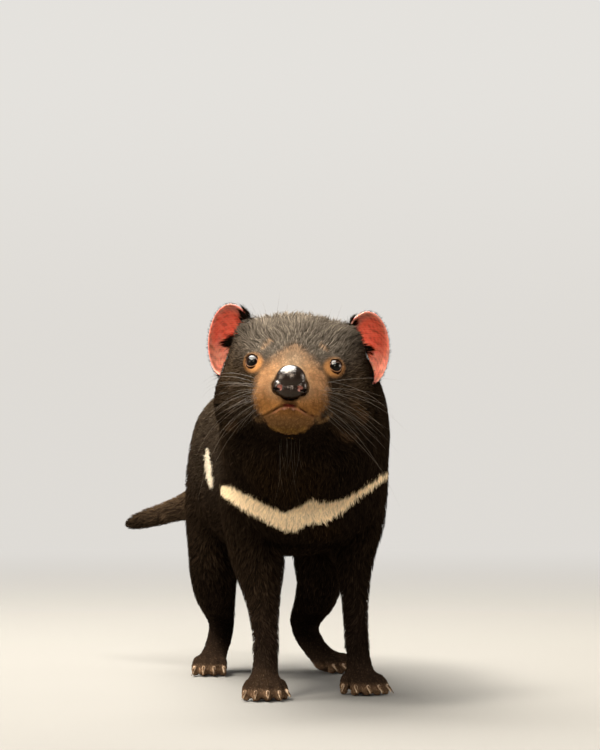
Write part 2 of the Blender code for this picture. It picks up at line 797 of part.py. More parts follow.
def parted():
    """Every node of flesh."""
    bm = bmesh.new()
    add_torso(bm)
    add_neck(bm)
    add_tail(bm)
    add_skull(bm)
    for leg in LEGS:
        add_leg(bm, leg)
    flesh = grown_together(new_object("flesh", bm), COARSE_GRAIN, 24)
    flesh.data.materials.clear()
    body = thinned(copy_of(flesh, "body"), BODY_TRIANGLES)
    body.data.materials.append(material(*COAT))

    nose, seat = nose_nodes()
    head, *eyes = head_nodes(flesh, seat)
    head_cutter = grown(copy_of(head, "head_cutter"), GAP)
    ears = [ear_node(side, head_cutter) for side in SIDES]

    place, normal = NECK_CUTS["head"]
    neck = sliced(copy_of(body, "neck"), place + normal * GAP / 2, -normal)
    far, away = NECK_CUTS["neck"]
    sliced(neck, far - away * GAP / 2, away)
    tail_place, tail_normal = TAIL_CUT
    tail = largest_piece(sliced(copy_of(body, "tail"), tail_place - tail_normal * GAP / 2, tail_normal))

    torso = sliced(copy_of(body, "torso"), far + away * GAP / 2, -away)
    sliced(torso, tail_place + tail_normal * GAP / 2, -tail_normal)
    legs = []
    for leg in LEGS:
        legs += leg_nodes(leg, body, flesh)
        region = leg_region(leg, GAP)
        boolean(torso, region, "DIFFERENCE")
        remove(region)
    largest_piece(torso)
    largest_piece(neck)
    remove(flesh, body, head_cutter)
    return [head, neck, torso, tail, nose, *ears, *eyes, *legs]


def centred(nodes):
    """Moves the whole animal so that the origin is on the floor under the middle of its outline."""
    points = [vert.co for node in nodes for vert in node.data.vertices]
    middle = [(min(p[i] for p in points) + max(p[i] for p in points)) / 2 for i in (0, 1)]
    for node in nodes:
        node.data.transform(Matrix.Translation((-middle[0], -middle[1], 0)))
        node.data.shade_smooth()
        node.data.set_sharp_from_angle(angle=math.radians(50))


for old in list(bpy.data.objects):
    bpy.data.objects.remove(old)
centred(parted())
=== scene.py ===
import math

import bpy
import numpy as np
from mathutils import Matrix, Vector
from mathutils.bvhtree import BVHTree
from mathutils.kdtree import KDTree


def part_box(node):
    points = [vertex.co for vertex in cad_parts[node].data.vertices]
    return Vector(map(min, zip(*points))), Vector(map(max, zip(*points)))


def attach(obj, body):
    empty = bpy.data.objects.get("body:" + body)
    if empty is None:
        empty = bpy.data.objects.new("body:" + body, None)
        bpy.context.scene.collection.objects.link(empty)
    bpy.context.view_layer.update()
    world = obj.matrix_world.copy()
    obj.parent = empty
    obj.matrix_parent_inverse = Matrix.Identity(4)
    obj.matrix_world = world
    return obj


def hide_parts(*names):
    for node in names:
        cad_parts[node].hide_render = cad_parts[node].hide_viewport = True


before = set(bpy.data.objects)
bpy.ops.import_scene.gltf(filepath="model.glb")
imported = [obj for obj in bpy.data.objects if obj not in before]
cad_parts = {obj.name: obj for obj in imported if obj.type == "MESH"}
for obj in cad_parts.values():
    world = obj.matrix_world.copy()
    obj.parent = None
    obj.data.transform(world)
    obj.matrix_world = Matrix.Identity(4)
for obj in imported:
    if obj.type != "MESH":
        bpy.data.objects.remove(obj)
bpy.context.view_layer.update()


# The head's own directions. The animal turns its head to its right and tips it a little, so whatever
# sits on the head is placed from a point midway between the eyes: x to its left, y back, z up.

def middle_of(node):
    low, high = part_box(node)
    return (low + high) / 2


eye_places = {side: middle_of("eye_" + side) for side in ("right", "left")}
head_middle = (eye_places["right"] + eye_places["left"]) / 2
head_x = (eye_places["left"] - eye_places["right"]).normalized()
head_z = (Vector((0, 0, 1)) - head_x * head_x.z).normalized()
head_y = head_z.cross(head_x)
head_turn = Matrix((head_x, head_y, head_z)).transposed()
head_axes = np.array(head_turn.transposed())
SIDES = {"right": -1, "left": 1}


def in_head(points):
    """World points in the head's frame."""
    return (np.asarray(points) - np.array(head_middle)) @ head_axes.T


# The hide. One skin over head, neck, trunk, tail and legs, which lies under the coat by the coat's
# depth. It is melted together from copies of the solids, so that no seam shows between them.

FLESH = ["head", "neck", "torso", "tail"] + [
    part + "_" + side
    for side in SIDES
    for part in ("upper_foreleg", "lower_foreleg", "forepaw", "thigh", "shank", "hind_paw")
]
HIDE_GRAIN = 0.0010
HIDE_EASE = 0.11
HIDE_SMOOTHING = 5
FACE_MIDDLE = (0, -0.020, -0.015)
FACE_REACH = 0.052
UV_ANGLE, UV_MARGIN = math.radians(66), 0.001
COAT = {
    # How deep the coat lies on each part, how long and how wide its tufts are, and how far apart.
    "head": (0.0028, 0.0062, 0.00066, 0.00112),
    "neck": (0.0042, 0.0105, 0.00085, 0.00155),
    "torso": (0.0045, 0.0135, 0.00115, 0.00205),
    "tail": (0.0032, 0.0120, 0.00080, 0.00135),
    "upper_foreleg": (0.0032, 0.0095, 0.00085, 0.00150),
    "lower_foreleg": (0.0017, 0.0062, 0.00066, 0.00125),
    "forepaw": (0.0006, 0.0032, 0.00050, 0.00115),
    "thigh": (0.0036, 0.0115, 0.00100, 0.00200),
    "shank": (0.0020, 0.0075, 0.00074, 0.00145),
    "hind_paw": (0.0007, 0.0034, 0.00052, 0.00120),
}
MUZZLE_COAT = (0.0004, 0.0018, 0.00030, 0.00080)
CROWN_COAT = (0.0046, 0.0110, 0.00052, 0.00105)
NAPE_COAT = (0.0036, 0.0110, 0.00085, 0.00155)
EAR_BASE_COAT = (0.0030, 0.0105, 0.00060, 0.00100)
CHEST_COAT = (0.0034, 0.0090, 0.00078, 0.00145)
BAND_COAT = (0.0030, 0.0062, 0.00052, 0.00095)
EYE_COAT = (0.0006, 0.0020, 0.00030, 0.00085)
COAT_EVENING, LIE_EVENING = 25, 60
BARE_THINNING = 8
MUZZLE = (0, -0.030, -0.020)
MUZZLE_REACH = (0.030, 0.062)
NAPE_REACH = (0.040, 0.060)
LIDS_REACH = (0.0105, 0.0150)
LIDS_BARE = (0.0066, 0.0076)
EAR_REACH = (0.004, 0.012)
BAND_REACH = (0.0065, 0.0110)
CHEST_FRONT = -0.150
EYE_SPOT = (0.0325, -0.0069, 0)
MOUTH = [
    (-0.0290, -0.0190, -0.0432), (-0.0214, -0.0325, -0.0427), (-0.0147, -0.0410, -0.0391),
    (-0.0070, -0.0444, -0.0338), (0.0000, -0.0446, -0.0319), (0.0070, -0.0444, -0.0333),
    (0.0155, -0.0405, -0.0381), (0.0225, -0.0320, -0.0410), (0.0300, -0.0180, -0.0420),
]
MOUTH_BARE = (0.0008, 0.0016)
LIP_DEPTH, LIP_SWELL = 0.0009, 0.0007
UPPER_LIP_RISE = 0.0022
LOWER_LIP = (0, -0.0440, -0.0346)
CHEST_BAND = [
    # Points down the middle of the band, from the right shoulder to the left, and its half width.
    (-0.0640, -0.1200, 0.1762, 0.0026), (-0.0633, -0.1297, 0.1739, 0.0050),
    (-0.0575, -0.1577, 0.1708, 0.0088), (-0.0485, -0.1757, 0.1650, 0.0096),
    (-0.0378, -0.1825, 0.1585, 0.0092), (-0.0264, -0.1855, 0.1527, 0.0094),
    (-0.0178, -0.1885, 0.1490, 0.0094), (-0.0110, -0.1942, 0.1560, 0.0104),
    (-0.0013, -0.1966, 0.1580, 0.0116), (0.0070, -0.1966, 0.1592, 0.0114),
    (0.0161, -0.1990, 0.1635, 0.0096), (0.0257, -0.2016, 0.1695, 0.0075),
    (0.0394, -0.2005, 0.1790, 0.0060), (0.0541, -0.1860, 0.1857, 0.0042),
    (0.0640, -0.1650, 0.1882, 0.0024), (0.0700, -0.1480, 0.1895, 0.0010),
]
BAND_PEAK = [
    # The band's upper edge, where the hair of the throat stands over the chest.
    (-0.0110, -0.2020, 0.1620, 0.0040), (-0.0049, -0.2120, 0.1672, 0.0052),
    (0.0011, -0.2080, 0.1655, 0.0040), (0.0156, -0.2061, 0.1662, 0.0036),
    (0.0236, -0.2082, 0.1702, 0.0026),
]
FLANK_STRIPE = [
    (-0.0616, -0.0235, 0.1965, 0.0120), (-0.0620, -0.0330, 0.1905, 0.0130),
    (-0.0617, -0.0440, 0.1850, 0.0110), (-0.0613, -0.0520, 0.1815, 0.0070),
]
LIE = {
    # Which way the hair runs. On the head it runs away from the tip of the nose.
    "neck": (0.05, 0.55, -0.75),
    "torso": (0, 1, -0.30),
    "tail": (-0.44, 0.86, -0.26),
    "upper_foreleg": (0, 0.25, -1),
    "lower_foreleg": (0, 0.10, -1),
    "forepaw": (0, -0.8, -0.5),
    "thigh": (0, 0.60, -1),
    "shank": (0, 0.45, -1),
    "hind_paw": (0, -0.8, -0.4),
}
CHEST_LIE = (0, 0.15, -1)
NOSE_TIP = (0, -0.045, -0.012)


def solo(piece):
    """Leaves only this piece selected and active, ready for an operator."""
    bpy.ops.object.select_all(action="DESELECT")
    piece.select_set(True)
    bpy.context.view_layer.objects.active = piece
    return piece


def opened(piece, action="SELECT"):
    """Edit mode on this piece alone, with all of it selected, or nothing."""
    solo(piece)
    bpy.ops.object.mode_set(mode="EDIT")
    bpy.ops.mesh.select_all(action=action)


def modified(piece, kind, **settings):
    """Applies one modifier to the piece."""
    modifier = solo(piece).modifiers.new(kind, kind)
    for setting, value in settings.items():
        setattr(modifier, setting, value)
    bpy.ops.object.modifier_apply(modifier=modifier.name)
    return piece


def added(name, data):
    """A new object of the scene, around this mesh, lamp or camera."""
    thing = bpy.data.objects.new(name, data)
    bpy.context.scene.collection.objects.link(thing)
    return thing


def merged_copy(node, name):
    """A copy of a solid, with its loose triangles joined up."""
    copy = added(name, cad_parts[node].data.copy())
    copy.data.materials.clear()
    opened(copy)
    bpy.ops.mesh.remove_doubles(threshold=1e-6)
    bpy.ops.object.mode_set(mode="OBJECT")
    return copy


def joined(pieces, name):
    bpy.ops.object.select_all(action="DESELECT")
    for piece in pieces:
        piece.select_set(True)
    bpy.context.view_layer.objects.active = pieces[0]
    bpy.ops.object.join()
    pieces[0].name = pieces[0].data.name = name
    return pieces[0]


def points_of(mesh):
    found = np.empty(len(mesh.vertices) * 3, np.float32)
    mesh.vertices.foreach_get("co", found)
    return found.reshape(-1, 3).astype(float)


def normals_of(mesh):
    found = np.empty(len(mesh.vertices) * 3, np.float32)
    mesh.vertex_normals.foreach_get("vector", found)
    return found.reshape(-1, 3).astype(float)


def set_points(mesh, points):
    mesh.vertices.foreach_set("co", points.astype(np.float32).ravel())
    mesh.update()


def unit(vectors):
    return vectors / np.maximum(np.linalg.norm(vectors, axis=-1, keepdims=True), 1e-12)


def fade(distance, full, gone):
    """1 where the distance is below full, 0 where it is past gone, and smooth between."""
    share = np.clip((distance - full) / (gone - full), 0, 1)
    return 1 - share * share * (3 - 2 * share)


def away(points, place, stretch=1):
    """How far points are from a place, where a stretched direction counts for less."""
    return np.linalg.norm((points - np.asarray(place)) / stretch, axis=1)


def mixed(first, second, share):
    """One row a point, each this share of the way from the first values to the second."""
    first = np.asarray(first)
    return first + (np.asarray(second) - first) * share[:, None]


def eased(mesh, values, turns):
    """Values on the mesh's points, evened out between neighbours this many times."""
    edges = np.empty(len(mesh.edges) * 2, np.int32)
    mesh.edges.foreach_get("vertices", edges)
    first, second = edges.reshape(-1, 2).T
    count = len(values)
    meetings = np.bincount(first, minlength=count) + np.bincount(second, minlength=count)
    shares = np.maximum(meetings, 1)
    for _ in range(turns):
        near = [
            np.bincount(first, column[second], count) + np.bincount(second, column[first], count)
            for column in values.T
        ]
        values = 0.5 * values + 0.5 * (np.array(near) / shares).T
    return values


def outside_line(points, line):
    """How far points lie outside a band: the distance to a line less its half width there."""
    line = np.array(line, float)
    best = np.full(len(points), 1.0)
    for start, end in zip(line, line[1:]):
        way = end[:3] - start[:3]
        share = np.clip((points - start[:3]) @ way / (way @ way), 0, 1)
        gap = np.linalg.norm(points - start[:3] - share[:, None] * way, axis=1)
        if len(start) > 3:
            gap -= start[3] + share * (end[3] - start[3])
        best = np.minimum(best, gap)
    return best


def unwrapped(piece):
    """Cuts the piece into triangles and lays its surface out flat."""
    opened(piece)
    bpy.ops.mesh.quads_convert_to_tris()
    bpy.ops.uv.smart_project(angle_limit=UV_ANGLE, island_margin=UV_MARGIN)
    bpy.ops.object.mode_set(mode="OBJECT")


hide = joined([merged_copy(part, "hide_" + part) for part in FLESH], "hide")
modified(hide, "REMESH", mode="VOXEL", voxel_size=HIDE_GRAIN, adaptivity=HIDE_EASE)
modified(hide, "SMOOTH", factor=0.5, iterations=HIDE_SMOOTHING)

# The face is divided finer than the rest, for its lids, lips and markings.
face_reach = away(in_head(points_of(hide.data)), FACE_MIDDLE)
opened(hide, "DESELECT")
bpy.ops.object.mode_set(mode="OBJECT")
hide.data.vertices.foreach_set("select", face_reach < FACE_REACH)
bpy.ops.object.mode_set(mode="EDIT")
bpy.ops.mesh.subdivide(number_cuts=1)
bpy.ops.object.mode_set(mode="OBJECT")
unwrapped(hide)

# Each point of the hide belongs to the part whose solid is nearest, and has that part's coat.
part_tree = KDTree(sum(len(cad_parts[part].data.vertices) for part in FLESH))
part_kinds = []
for part in FLESH:
    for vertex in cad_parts[part].data.vertices:
        part_tree.insert(vertex.co, len(part_kinds))
        part_kinds.append(part.replace("_right", "").replace("_left", ""))
part_tree.balance()
over_coat = points_of(hide.data)
kinds = np.array([part_kinds[part_tree.find(point)[1]] for point in over_coat])

head_points = in_head(over_coat)
of_head = kinds == "head"
coat = np.array([COAT[kind] for kind in kinds])
coat = mixed(coat, MUZZLE_COAT, fade(away(head_points, MUZZLE), *MUZZLE_REACH) * of_head)
on_crown = fade(-head_points[:, 2], -0.026, -0.008) * fade(-head_points[:, 1], -0.012, 0.008)
on_crown = on_crown * of_head * fade(head_points[:, 1], 0.050, 0.070)
coat = mixed(coat, CROWN_COAT, on_crown)
coat = mixed(coat, NAPE_COAT, (1 - fade(head_points[:, 1], *NAPE_REACH)) * of_head)
eye_gap = np.full(len(over_coat), 1.0)
by_eye = np.zeros(len(over_coat))
by_ear = np.zeros(len(over_coat))
for side_name, side in SIDES.items():
    gap = away(head_points, np.array(EYE_SPOT) * (side, 1, 1))
    eye_gap = np.minimum(eye_gap, gap)
    by_eye = np.maximum(by_eye, fade(gap, *LIDS_REACH) * of_head)
    ear_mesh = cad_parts["ear_" + side_name].data
    ear_tree = KDTree(len(ear_mesh.vertices))
    for vertex in ear_mesh.vertices:
        ear_tree.insert(vertex.co, vertex.index)
    ear_tree.balance()
    gap = np.array([ear_tree.find(point)[2] for point in over_coat])
    by_ear = np.maximum(by_ear, fade(gap, *EAR_REACH) * of_head)
coat = mixed(coat, EYE_COAT, by_eye)
coat = mixed(coat, EAR_BASE_COAT, by_ear)
of_torso = kinds == "torso"
coat = mixed(coat, CHEST_COAT, of_torso * fade(over_coat[:, 1], CHEST_FRONT, -0.110))
for line in (CHEST_BAND, BAND_PEAK, FLANK_STRIPE):
    coat = mixed(coat, BAND_COAT, fade(outside_line(over_coat, line), *BAND_REACH) * ~of_head)
coat = eased(hide.data, coat, COAT_EVENING)
# Hardly any tufts grow on the line of the mouth and inside the lids.
mouth_gap = outside_line(head_points, MOUTH)
coat[:, 3] *= 1 + BARE_THINNING * np.maximum(fade(mouth_gap, *MOUTH_BARE), fade(eye_gap, *LIDS_BARE))

lie = np.array([LIE.get(kind, (0, 0, 0)) for kind in kinds], float)
from_nose = unit(head_points - NOSE_TIP) @ head_axes
lie[of_head] = from_nose[of_head]
lie[of_torso & (over_coat[:, 1] < CHEST_FRONT)] = CHEST_LIE
outward = np.sign(head_points[:, :1]) * head_axes[0] + 0.5 * head_axes[2]
lie = mixed(lie, outward, by_ear * 0.7 * fade(-head_points[:, 2], -0.020, 0.0))
lie = eased(hide.data, unit(lie), LIE_EVENING)

# The upper lip overhangs the line of the mouth, and the lower lip swells under its middle.
over_mouth = head_points[:, 2] - np.interp(head_points[:, 0], *np.array(MOUTH)[:, [0, 2]].T)
upper_lip = fade(np.abs(over_mouth - UPPER_LIP_RISE), 0.0006, 0.0022) * fade(mouth_gap, 0.0040, 0.0060)
lower_lip = fade(away(head_points, LOWER_LIP), 0.0010, 0.0046)
lips = LIP_SWELL * (upper_lip + 0.7 * lower_lip) - LIP_DEPTH * fade(mouth_gap, 0.0002, 0.0013)
under_coat = over_coat - normals_of(hide.data) * (coat[:, 0] - lips)[:, None]
set_points(hide.data, under_coat)
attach(hide, "root")
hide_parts(*FLESH)


# The markings. Hide and coat take one and the same colour at each place: a near-black coat, a
# greyer crown, a brown muzzle, tan lids and brow spots, faint brown cheeks, and white bands. Some of
# it is painted light: the grey of the crown and a lighter back are painted sheen, a paler stripe down
# the bridge is a painted highlight, and the dark under the nose, in the mouth and under the chin is
# painted shade.

BLACK = (0.0098, 0.0062, 0.0037)
BACK_SHEEN = (0.021, 0.015, 0.010)
CROWN_SHEEN = (0.076, 0.063, 0.049)
BROW_GREY = (0.030, 0.020, 0.012)
MUZZLE_BROWN = (0.250, 0.130, 0.060)
LIP_BROWN = (0.195, 0.084, 0.024)
NOSE_SHADOW = (0.028, 0.013, 0.005)
ROSE_HIGHLIGHT = (0.225, 0.150, 0.088)
BRIDGE_GREY = (0.178, 0.126, 0.083)
CHIN_BROWN = (0.160, 0.080, 0.030)
CHIN_SHADE = (0.060, 0.034, 0.010)
TAN = (0.480, 0.215, 0.070)
BROW_TAN = (0.240, 0.145, 0.082)
OCHRE = (0.450, 0.230, 0.050)
CORNER_TAN = (0.300, 0.160, 0.060)
CHEEK_BROWN = (0.034, 0.019, 0.009)
THROAT_BROWN = (0.016, 0.009, 0.004)
CREAM = (0.960, 0.735, 0.460)
STRIPE_WHITE = (0.620, 0.530, 0.400)
LEG_BROWN = (0.014, 0.009, 0.006)
PAW_BROWN = (0.026, 0.016, 0.010)
TOE_BROWN = (0.150, 0.088, 0.050)
TAIL_BROWN = (0.034, 0.022, 0.013)
MOUTH_LINE_SHADE = (0.030, 0.010, 0.006)
MOUTH_RED_SHADE = (0.070, 0.010, 0.006)
LIP_ROSE = (0.420, 0.170, 0.110)
LIP_PALE = (0.400, 0.210, 0.165)

HIDE_SHADE = 0.6
SHINE_TINT = (1, 0.88, 0.74, 1)
GRAIN_DETAIL, BUMP_STRENGTH = 3, 0.8
MUZZLE_WIDTHS = [
    # Height over the eyes, and how far the brown of the muzzle reaches to each side.
    (-0.0560, -0.0040), (-0.0535, 0.0080), (-0.0490, 0.0150), (-0.0420, 0.0210), (-0.0370, 0.0258),
    (-0.0320, 0.0290), (-0.0200, 0.0300), (-0.0120, 0.0290), (-0.0070, 0.0272), (-0.0010, 0.0215),
    (0.0050, 0.0150), (0.0116, 0.0070), (0.0165, -0.0010), (0.0200, -0.0100),
]
BROW_SPOTS = [
    # Each of these marks runs down a line, given by its points with the half width there.
    [(-0.0265, -0.0030, 0.0105, 0.0010), (-0.0240, -0.0010, 0.0135, 0.0018),
     (-0.0202, 0.0035, 0.0180, 0.0014)],
    [(0.0262, -0.0010, 0.0122, 0.0008), (0.0242, 0.0004, 0.0145, 0.0016),
     (0.0208, 0.0023, 0.0175, 0.0012)],
]
MOUTH_CORNERS = [
    # The line of each corner of the mouth, and how strong its tan is.
    ([(-0.0215, -0.0300, -0.0442, 0.0020), (-0.0275, -0.0080, -0.0460, 0.0024)], 0.20),
    ([(0.0200, -0.0340, -0.0424, 0.0016), (0.0260, -0.0200, -0.0432, 0.0026),
      (0.0318, -0.0070, -0.0395, 0.0024)], 0.42),
]
CHEEK_PATCHES = [
    [(0.0500, 0.0030, -0.0290, 0.0040), (0.0610, 0.0150, -0.0400, 0.0060)],
    [(0.0340, 0.0080, -0.0500, 0.0030), (0.0480, 0.0190, -0.0580, 0.0060)],
    [(-0.0400, 0.0050, -0.0480, 0.0030), (-0.0520, 0.0180, -0.0560, 0.0050)],
]


def waves(points, size, seed):
    """Soft irregular waves from -1 to 1, about this size across."""
    draw = np.random.default_rng(seed)
    total = np.zeros(len(points))
    for _ in range(5):
        way = unit(draw.normal(size=3)) * 2 * math.pi / (size * draw.uniform(0.7, 1.5))
        total += np.sin(points @ way + draw.uniform(0, 2 * math.pi))
    return total / 2.5


def coat_colours(points, kinds):
    """The colour of hide and coat at each place."""
    head = in_head(points)
    x, y, z = head.T
    on_head = (kinds == "head").astype(float)
    ragged = 0.0012 * waves(points, 0.006, 5)
    colours = np.tile(BLACK, (len(points), 1))

    def dye(colour, share):
        nonlocal colours
        colours = mixed(colours, colour, share)

    def mark(colour, line, full, gone, strength, border=0):
        """Dyes along a line of the head, up to a border that may be ragged."""
        dye(colour, fade(outside_line(head, line) + border, full, gone) * strength)

    height = points[:, 2]
    # Painted sheen: the coat is lighter on the upper trunk behind the chest, where light falls from
    # above.
    back = (1 - fade(height, 0.140, 0.225)) * (1 - fade(points[:, 1], -0.160, -0.090)) * (1 - on_head)
    dye(BACK_SHEEN, back)
    on_leg = np.isin(kinds, ["lower_foreleg", "shank", "forepaw", "hind_paw"])
    dye(LEG_BROWN, fade(height, 0.045, 0.110) * on_leg * 0.8)
    dye(PAW_BROWN, fade(height, 0.012, 0.036) * on_leg)
    dye(TOE_BROWN, fade(height, 0.0045, 0.0125) * np.isin(kinds, ["forepaw", "hind_paw"]))
    along_tail = (kinds == "tail") * (1 - fade(points[:, 1], 0.205, 0.260))
    dye(TAIL_BROWN, along_tail * (0.25 + 0.75 * fade(points[:, 1], 0.290, 0.345)))
    throat = away(points, (-0.030, -0.235, 0.180), (1.0, 1.2, 1.3))
    dye(THROAT_BROWN, fade(throat, 0.015, 0.050) * 0.8)
    dye(THROAT_BROWN, fade(away(points, (0.012, -0.182, 0.137)), 0.006, 0.024) * 0.8)

    brow = fade(np.abs(z + 0.012), 0.018, 0.042) * fade(np.abs(x), 0.046, 0.062) * fade(y, 0.024, 0.056)
    dye(BROW_GREY, brow * on_head)
    # Painted sheen: the crown is lighter and greyer where light from above catches its hair.
    crown = fade(np.abs(x), 0.026, 0.058) * fade(-z, -0.014, 0.010) * fade(y, 0.030, 0.075)
    dye(CROWN_SHEEN, crown * on_head)
    for patch in CHEEK_PATCHES:
        mark(CHEEK_BROWN, patch, -0.003, 0.004, on_head)

    wide = np.interp(z, *np.array(MUZZLE_WIDTHS).T)
    soft = fade(-z, -0.006, 0.012)
    brown = fade(np.abs(x) - wide + ragged, -0.0050 - 0.0040 * soft, 0.0030 + 0.0040 * soft)
    brown *= fade(y, -0.014 + 0.012 * soft, -0.004 + 0.014 * soft)
    bridge = outside_line(head, [(-0.001, -0.0110, 0.0110, 0.0040), (0, -0.0300, 0.0000, 0.0125)])
    brown = np.maximum(brown, fade(bridge + ragged, -0.006, 0.005) * 0.75)
    dye(MUZZLE_BROWN, brown * on_head)
    # Painted highlight: a paler rose stripe down the ridge of the bridge to the nose, where light from
    # above falls.
    ridge_highlight = [(0, -0.0160, 0.0060, 0.004), (0, -0.042, -0.020, 0.015)]
    mark(ROSE_HIGHLIGHT, ridge_highlight, -0.004, 0.007, on_head * 0.8)
    dye(BRIDGE_GREY, brown * on_head * fade(-z, -0.010, 0.008) * 0.75)
    dye(LIP_BROWN, brown * on_head * fade(z, -0.034, -0.016))
    # Painted shadow: dark brown right under the nose pad, where the pad shades the upper lip.
    under_nose = [(0, -0.046, -0.0230, 0.0105), (0, -0.046, -0.0300, 0.0065)]
    mark(NOSE_SHADOW, under_nose, -0.0035, 0.0035, 0.90, ragged)
    mottling = 0.13 * waves(points, 0.0075, 14) + 0.09 * waves(points, 0.0030, 15)
    colours *= 1 + (mottling * on_head * fade(y, -0.010, 0.010))[:, None]
    chin = [(-0.011, -0.036, -0.044, 0.006), (0.011, -0.036, -0.044, 0.006)]
    mark(CHIN_BROWN, chin, -0.002, 0.005, on_head * 0.8)
    dye(CHIN_SHADE, brown * on_head * fade(z, -0.0535, -0.0450) * 0.8)
    chin_edge = [(-0.011, -0.0290, -0.0505, 0.0025), (0.011, -0.0290, -0.0505, 0.0025)]
    mark(OCHRE, chin_edge, -0.002, 0.003, on_head * 0.22, ragged)
    tuft = away(head, (0.001, 0.0075, -0.0600))
    dye(OCHRE, fade(tuft + ragged, 0.0015, 0.0038) * on_head * 0.7)

    for corner, strength in MOUTH_CORNERS:
        mark(CORNER_TAN, corner, -0.003, 0.003, strength, ragged)
    for spot in BROW_SPOTS:
        mark(BROW_TAN, spot, -0.0016, 0.0020, 0.6, ragged)
    for side in SIDES.values():
        eye = away(head, np.array(EYE_SPOT) * (side, 1, 1), (1.08, 2.2, 1))
        dye(TAN, fade(eye, 0.0052, 0.0098) * (0.45 + 0.40 * fade(z, 0.000, 0.007)))
    under = outside_line(head + (0, 0, 0.0016), MOUTH)
    dye(LIP_ROSE, fade(under, 0.0003, 0.0014) * 0.28 * fade(np.abs(x), 0.012, 0.022))
    # Painted shade: dark along the crease of the mouth, and in the small opening at its middle the red
    # of the mouth darkened by the shade inside.
    mark(MOUTH_LINE_SHADE, MOUTH, 0.0002, 0.0010, fade(np.abs(x - 0.003), 0.014, 0.026))
    mark(MOUTH_RED_SHADE, [(-0.0036, -0.0446, -0.0324), (0.0036, -0.0446, -0.0324)], 0.0007, 0.0017, 1)
    mark(LIP_PALE, [(-0.0036, -0.0440, -0.0350), (0.0036, -0.0440, -0.0350)], 0.0003, 0.0013, 0.7)

    for line, white in ((CHEST_BAND, CREAM), (BAND_PEAK, CREAM), (FLANK_STRIPE, STRIPE_WHITE)):
        band = outside_line(points, line) + 0.5 * ragged
        dye(white, fade(band, -0.0014, 0.0010) * (1 - on_head))
    return colours


def paint(mesh, colours):
    """Stores one colour a point, which the materials read."""
    tone = mesh.color_attributes.new("tone", "FLOAT_COLOR", "POINT")
    solid = np.hstack([colours, np.ones((len(colours), 1))])
    tone.data.foreach_set("color", solid.astype(np.float32).ravel())


def finished(mesh, colours, finish):
    """Paints the mesh, gives it its finish and shades it smooth."""
    paint(mesh, colours)
    mesh.materials.clear()
    mesh.materials.append(finish)
    mesh.shade_smooth()


def filled(node, values):
    """Gives inputs of a shader node these values."""
    for socket, value in values.items():
        node.inputs[socket].default_value = value
    return node


def node_of(tree, kind, values=None, **settings):
    """A new shader node of this kind, with its inputs and settings."""
    node = tree.nodes.new("ShaderNode" + kind)
    for setting, value in settings.items():
        setattr(node, setting, value)
    return filled(node, values or {})


def joined_up(tree, *links):
    """Links sockets of a shader tree, each given as node, output, node and input."""
    for source, output, target, entry in links:
        tree.links.new(source.outputs[output], target.inputs[entry])


def fur_material(name, roughness, grain, depth, vary, gloss):
    """A finish whose colour is the markings, varied by a fine grain that also stands up as bump."""
    finish = bpy.data.materials.new(name)
    finish.use_nodes = True
    tree = finish.node_tree
    shader = tree.nodes["Principled BSDF"]
    filled(shader, {"Roughness": roughness, "Specular IOR Level": gloss, "Specular Tint": SHINE_TINT})
    tone = node_of(tree, "Attribute", attribute_name="tone")
    place = node_of(tree, "TexCoord")
    noise = node_of(tree, "TexNoise", {"Scale": grain, "Detail": GRAIN_DETAIL})
    spread = node_of(tree, "MapRange", {"To Min": 1 - vary, "To Max": 1 + vary})
    scale = node_of(tree, "VectorMath", operation="SCALE")
    joined_up(
        tree, (place, "Object", noise, "Vector"), (noise, "Fac", spread, "Value"),
        (tone, "Color", scale, 0), (spread, "Result", scale, "Scale"),
        (scale, "Vector", shader, "Base Color"),
    )
    if depth:
        bump = node_of(tree, "Bump", {"Distance": depth, "Strength": BUMP_STRENGTH})
        joined_up(tree, (noise, "Fac", bump, "Height"), (bump, "Normal", shader, "Normal"))
    return finish


hide_finish = fur_material("hide_finish", 0.90, 1400, 0.0003, 0.35, 0)
finished(hide.data, coat_colours(under_coat, kinds) * HIDE_SHADE, hide_finish)


# The coat. Short guard hair in thin tufts that grow from the hide and lie along the body. Each tuft
# is a tapered three-sided lock with a little bend, and neighbours lean together into clumps.

TUFT_ROOT = 0.0004
CLUMP_SIZE, CLUMP_PULL = 0.0050, 0.45
PATCH = 0.0015
OWN_SHADE = 0.95
TUFT_POINTS = 7
# A dark tuft is darkest at its root, painted shade where its neighbours cover it, and lighter at
# its tip, a painted sheen. A pale one hardly changes.
ROOT_SHADE, RING_TONE, TIP_SHEEN = 0.28, 0.95, 1.50
PALE_ROOT, PALE_TIP = 0.47, 0.35
TUFT_RINGS = [
    # Width, flatness and patch size of a tuft's ring at the root and of its ring on the way.
    (1.0, 0.6, 1.0), (0.8, 0.5, 0.6),
]
TUFT_FACES = np.array([
    (0, 4, 1), (0, 3, 4), (1, 5, 2), (1, 4, 5), (2, 3, 0), (2, 5, 3),
    (3, 6, 4), (4, 6, 5), (5, 6, 3), (0, 1, 2),
])


def triangles_of(mesh):
    mesh.calc_loop_triangles()
    found = np.empty(len(mesh.loop_triangles) * 3, np.int32)
    mesh.loop_triangles.foreach_get("vertices", found)
    return found.reshape(-1, 3)


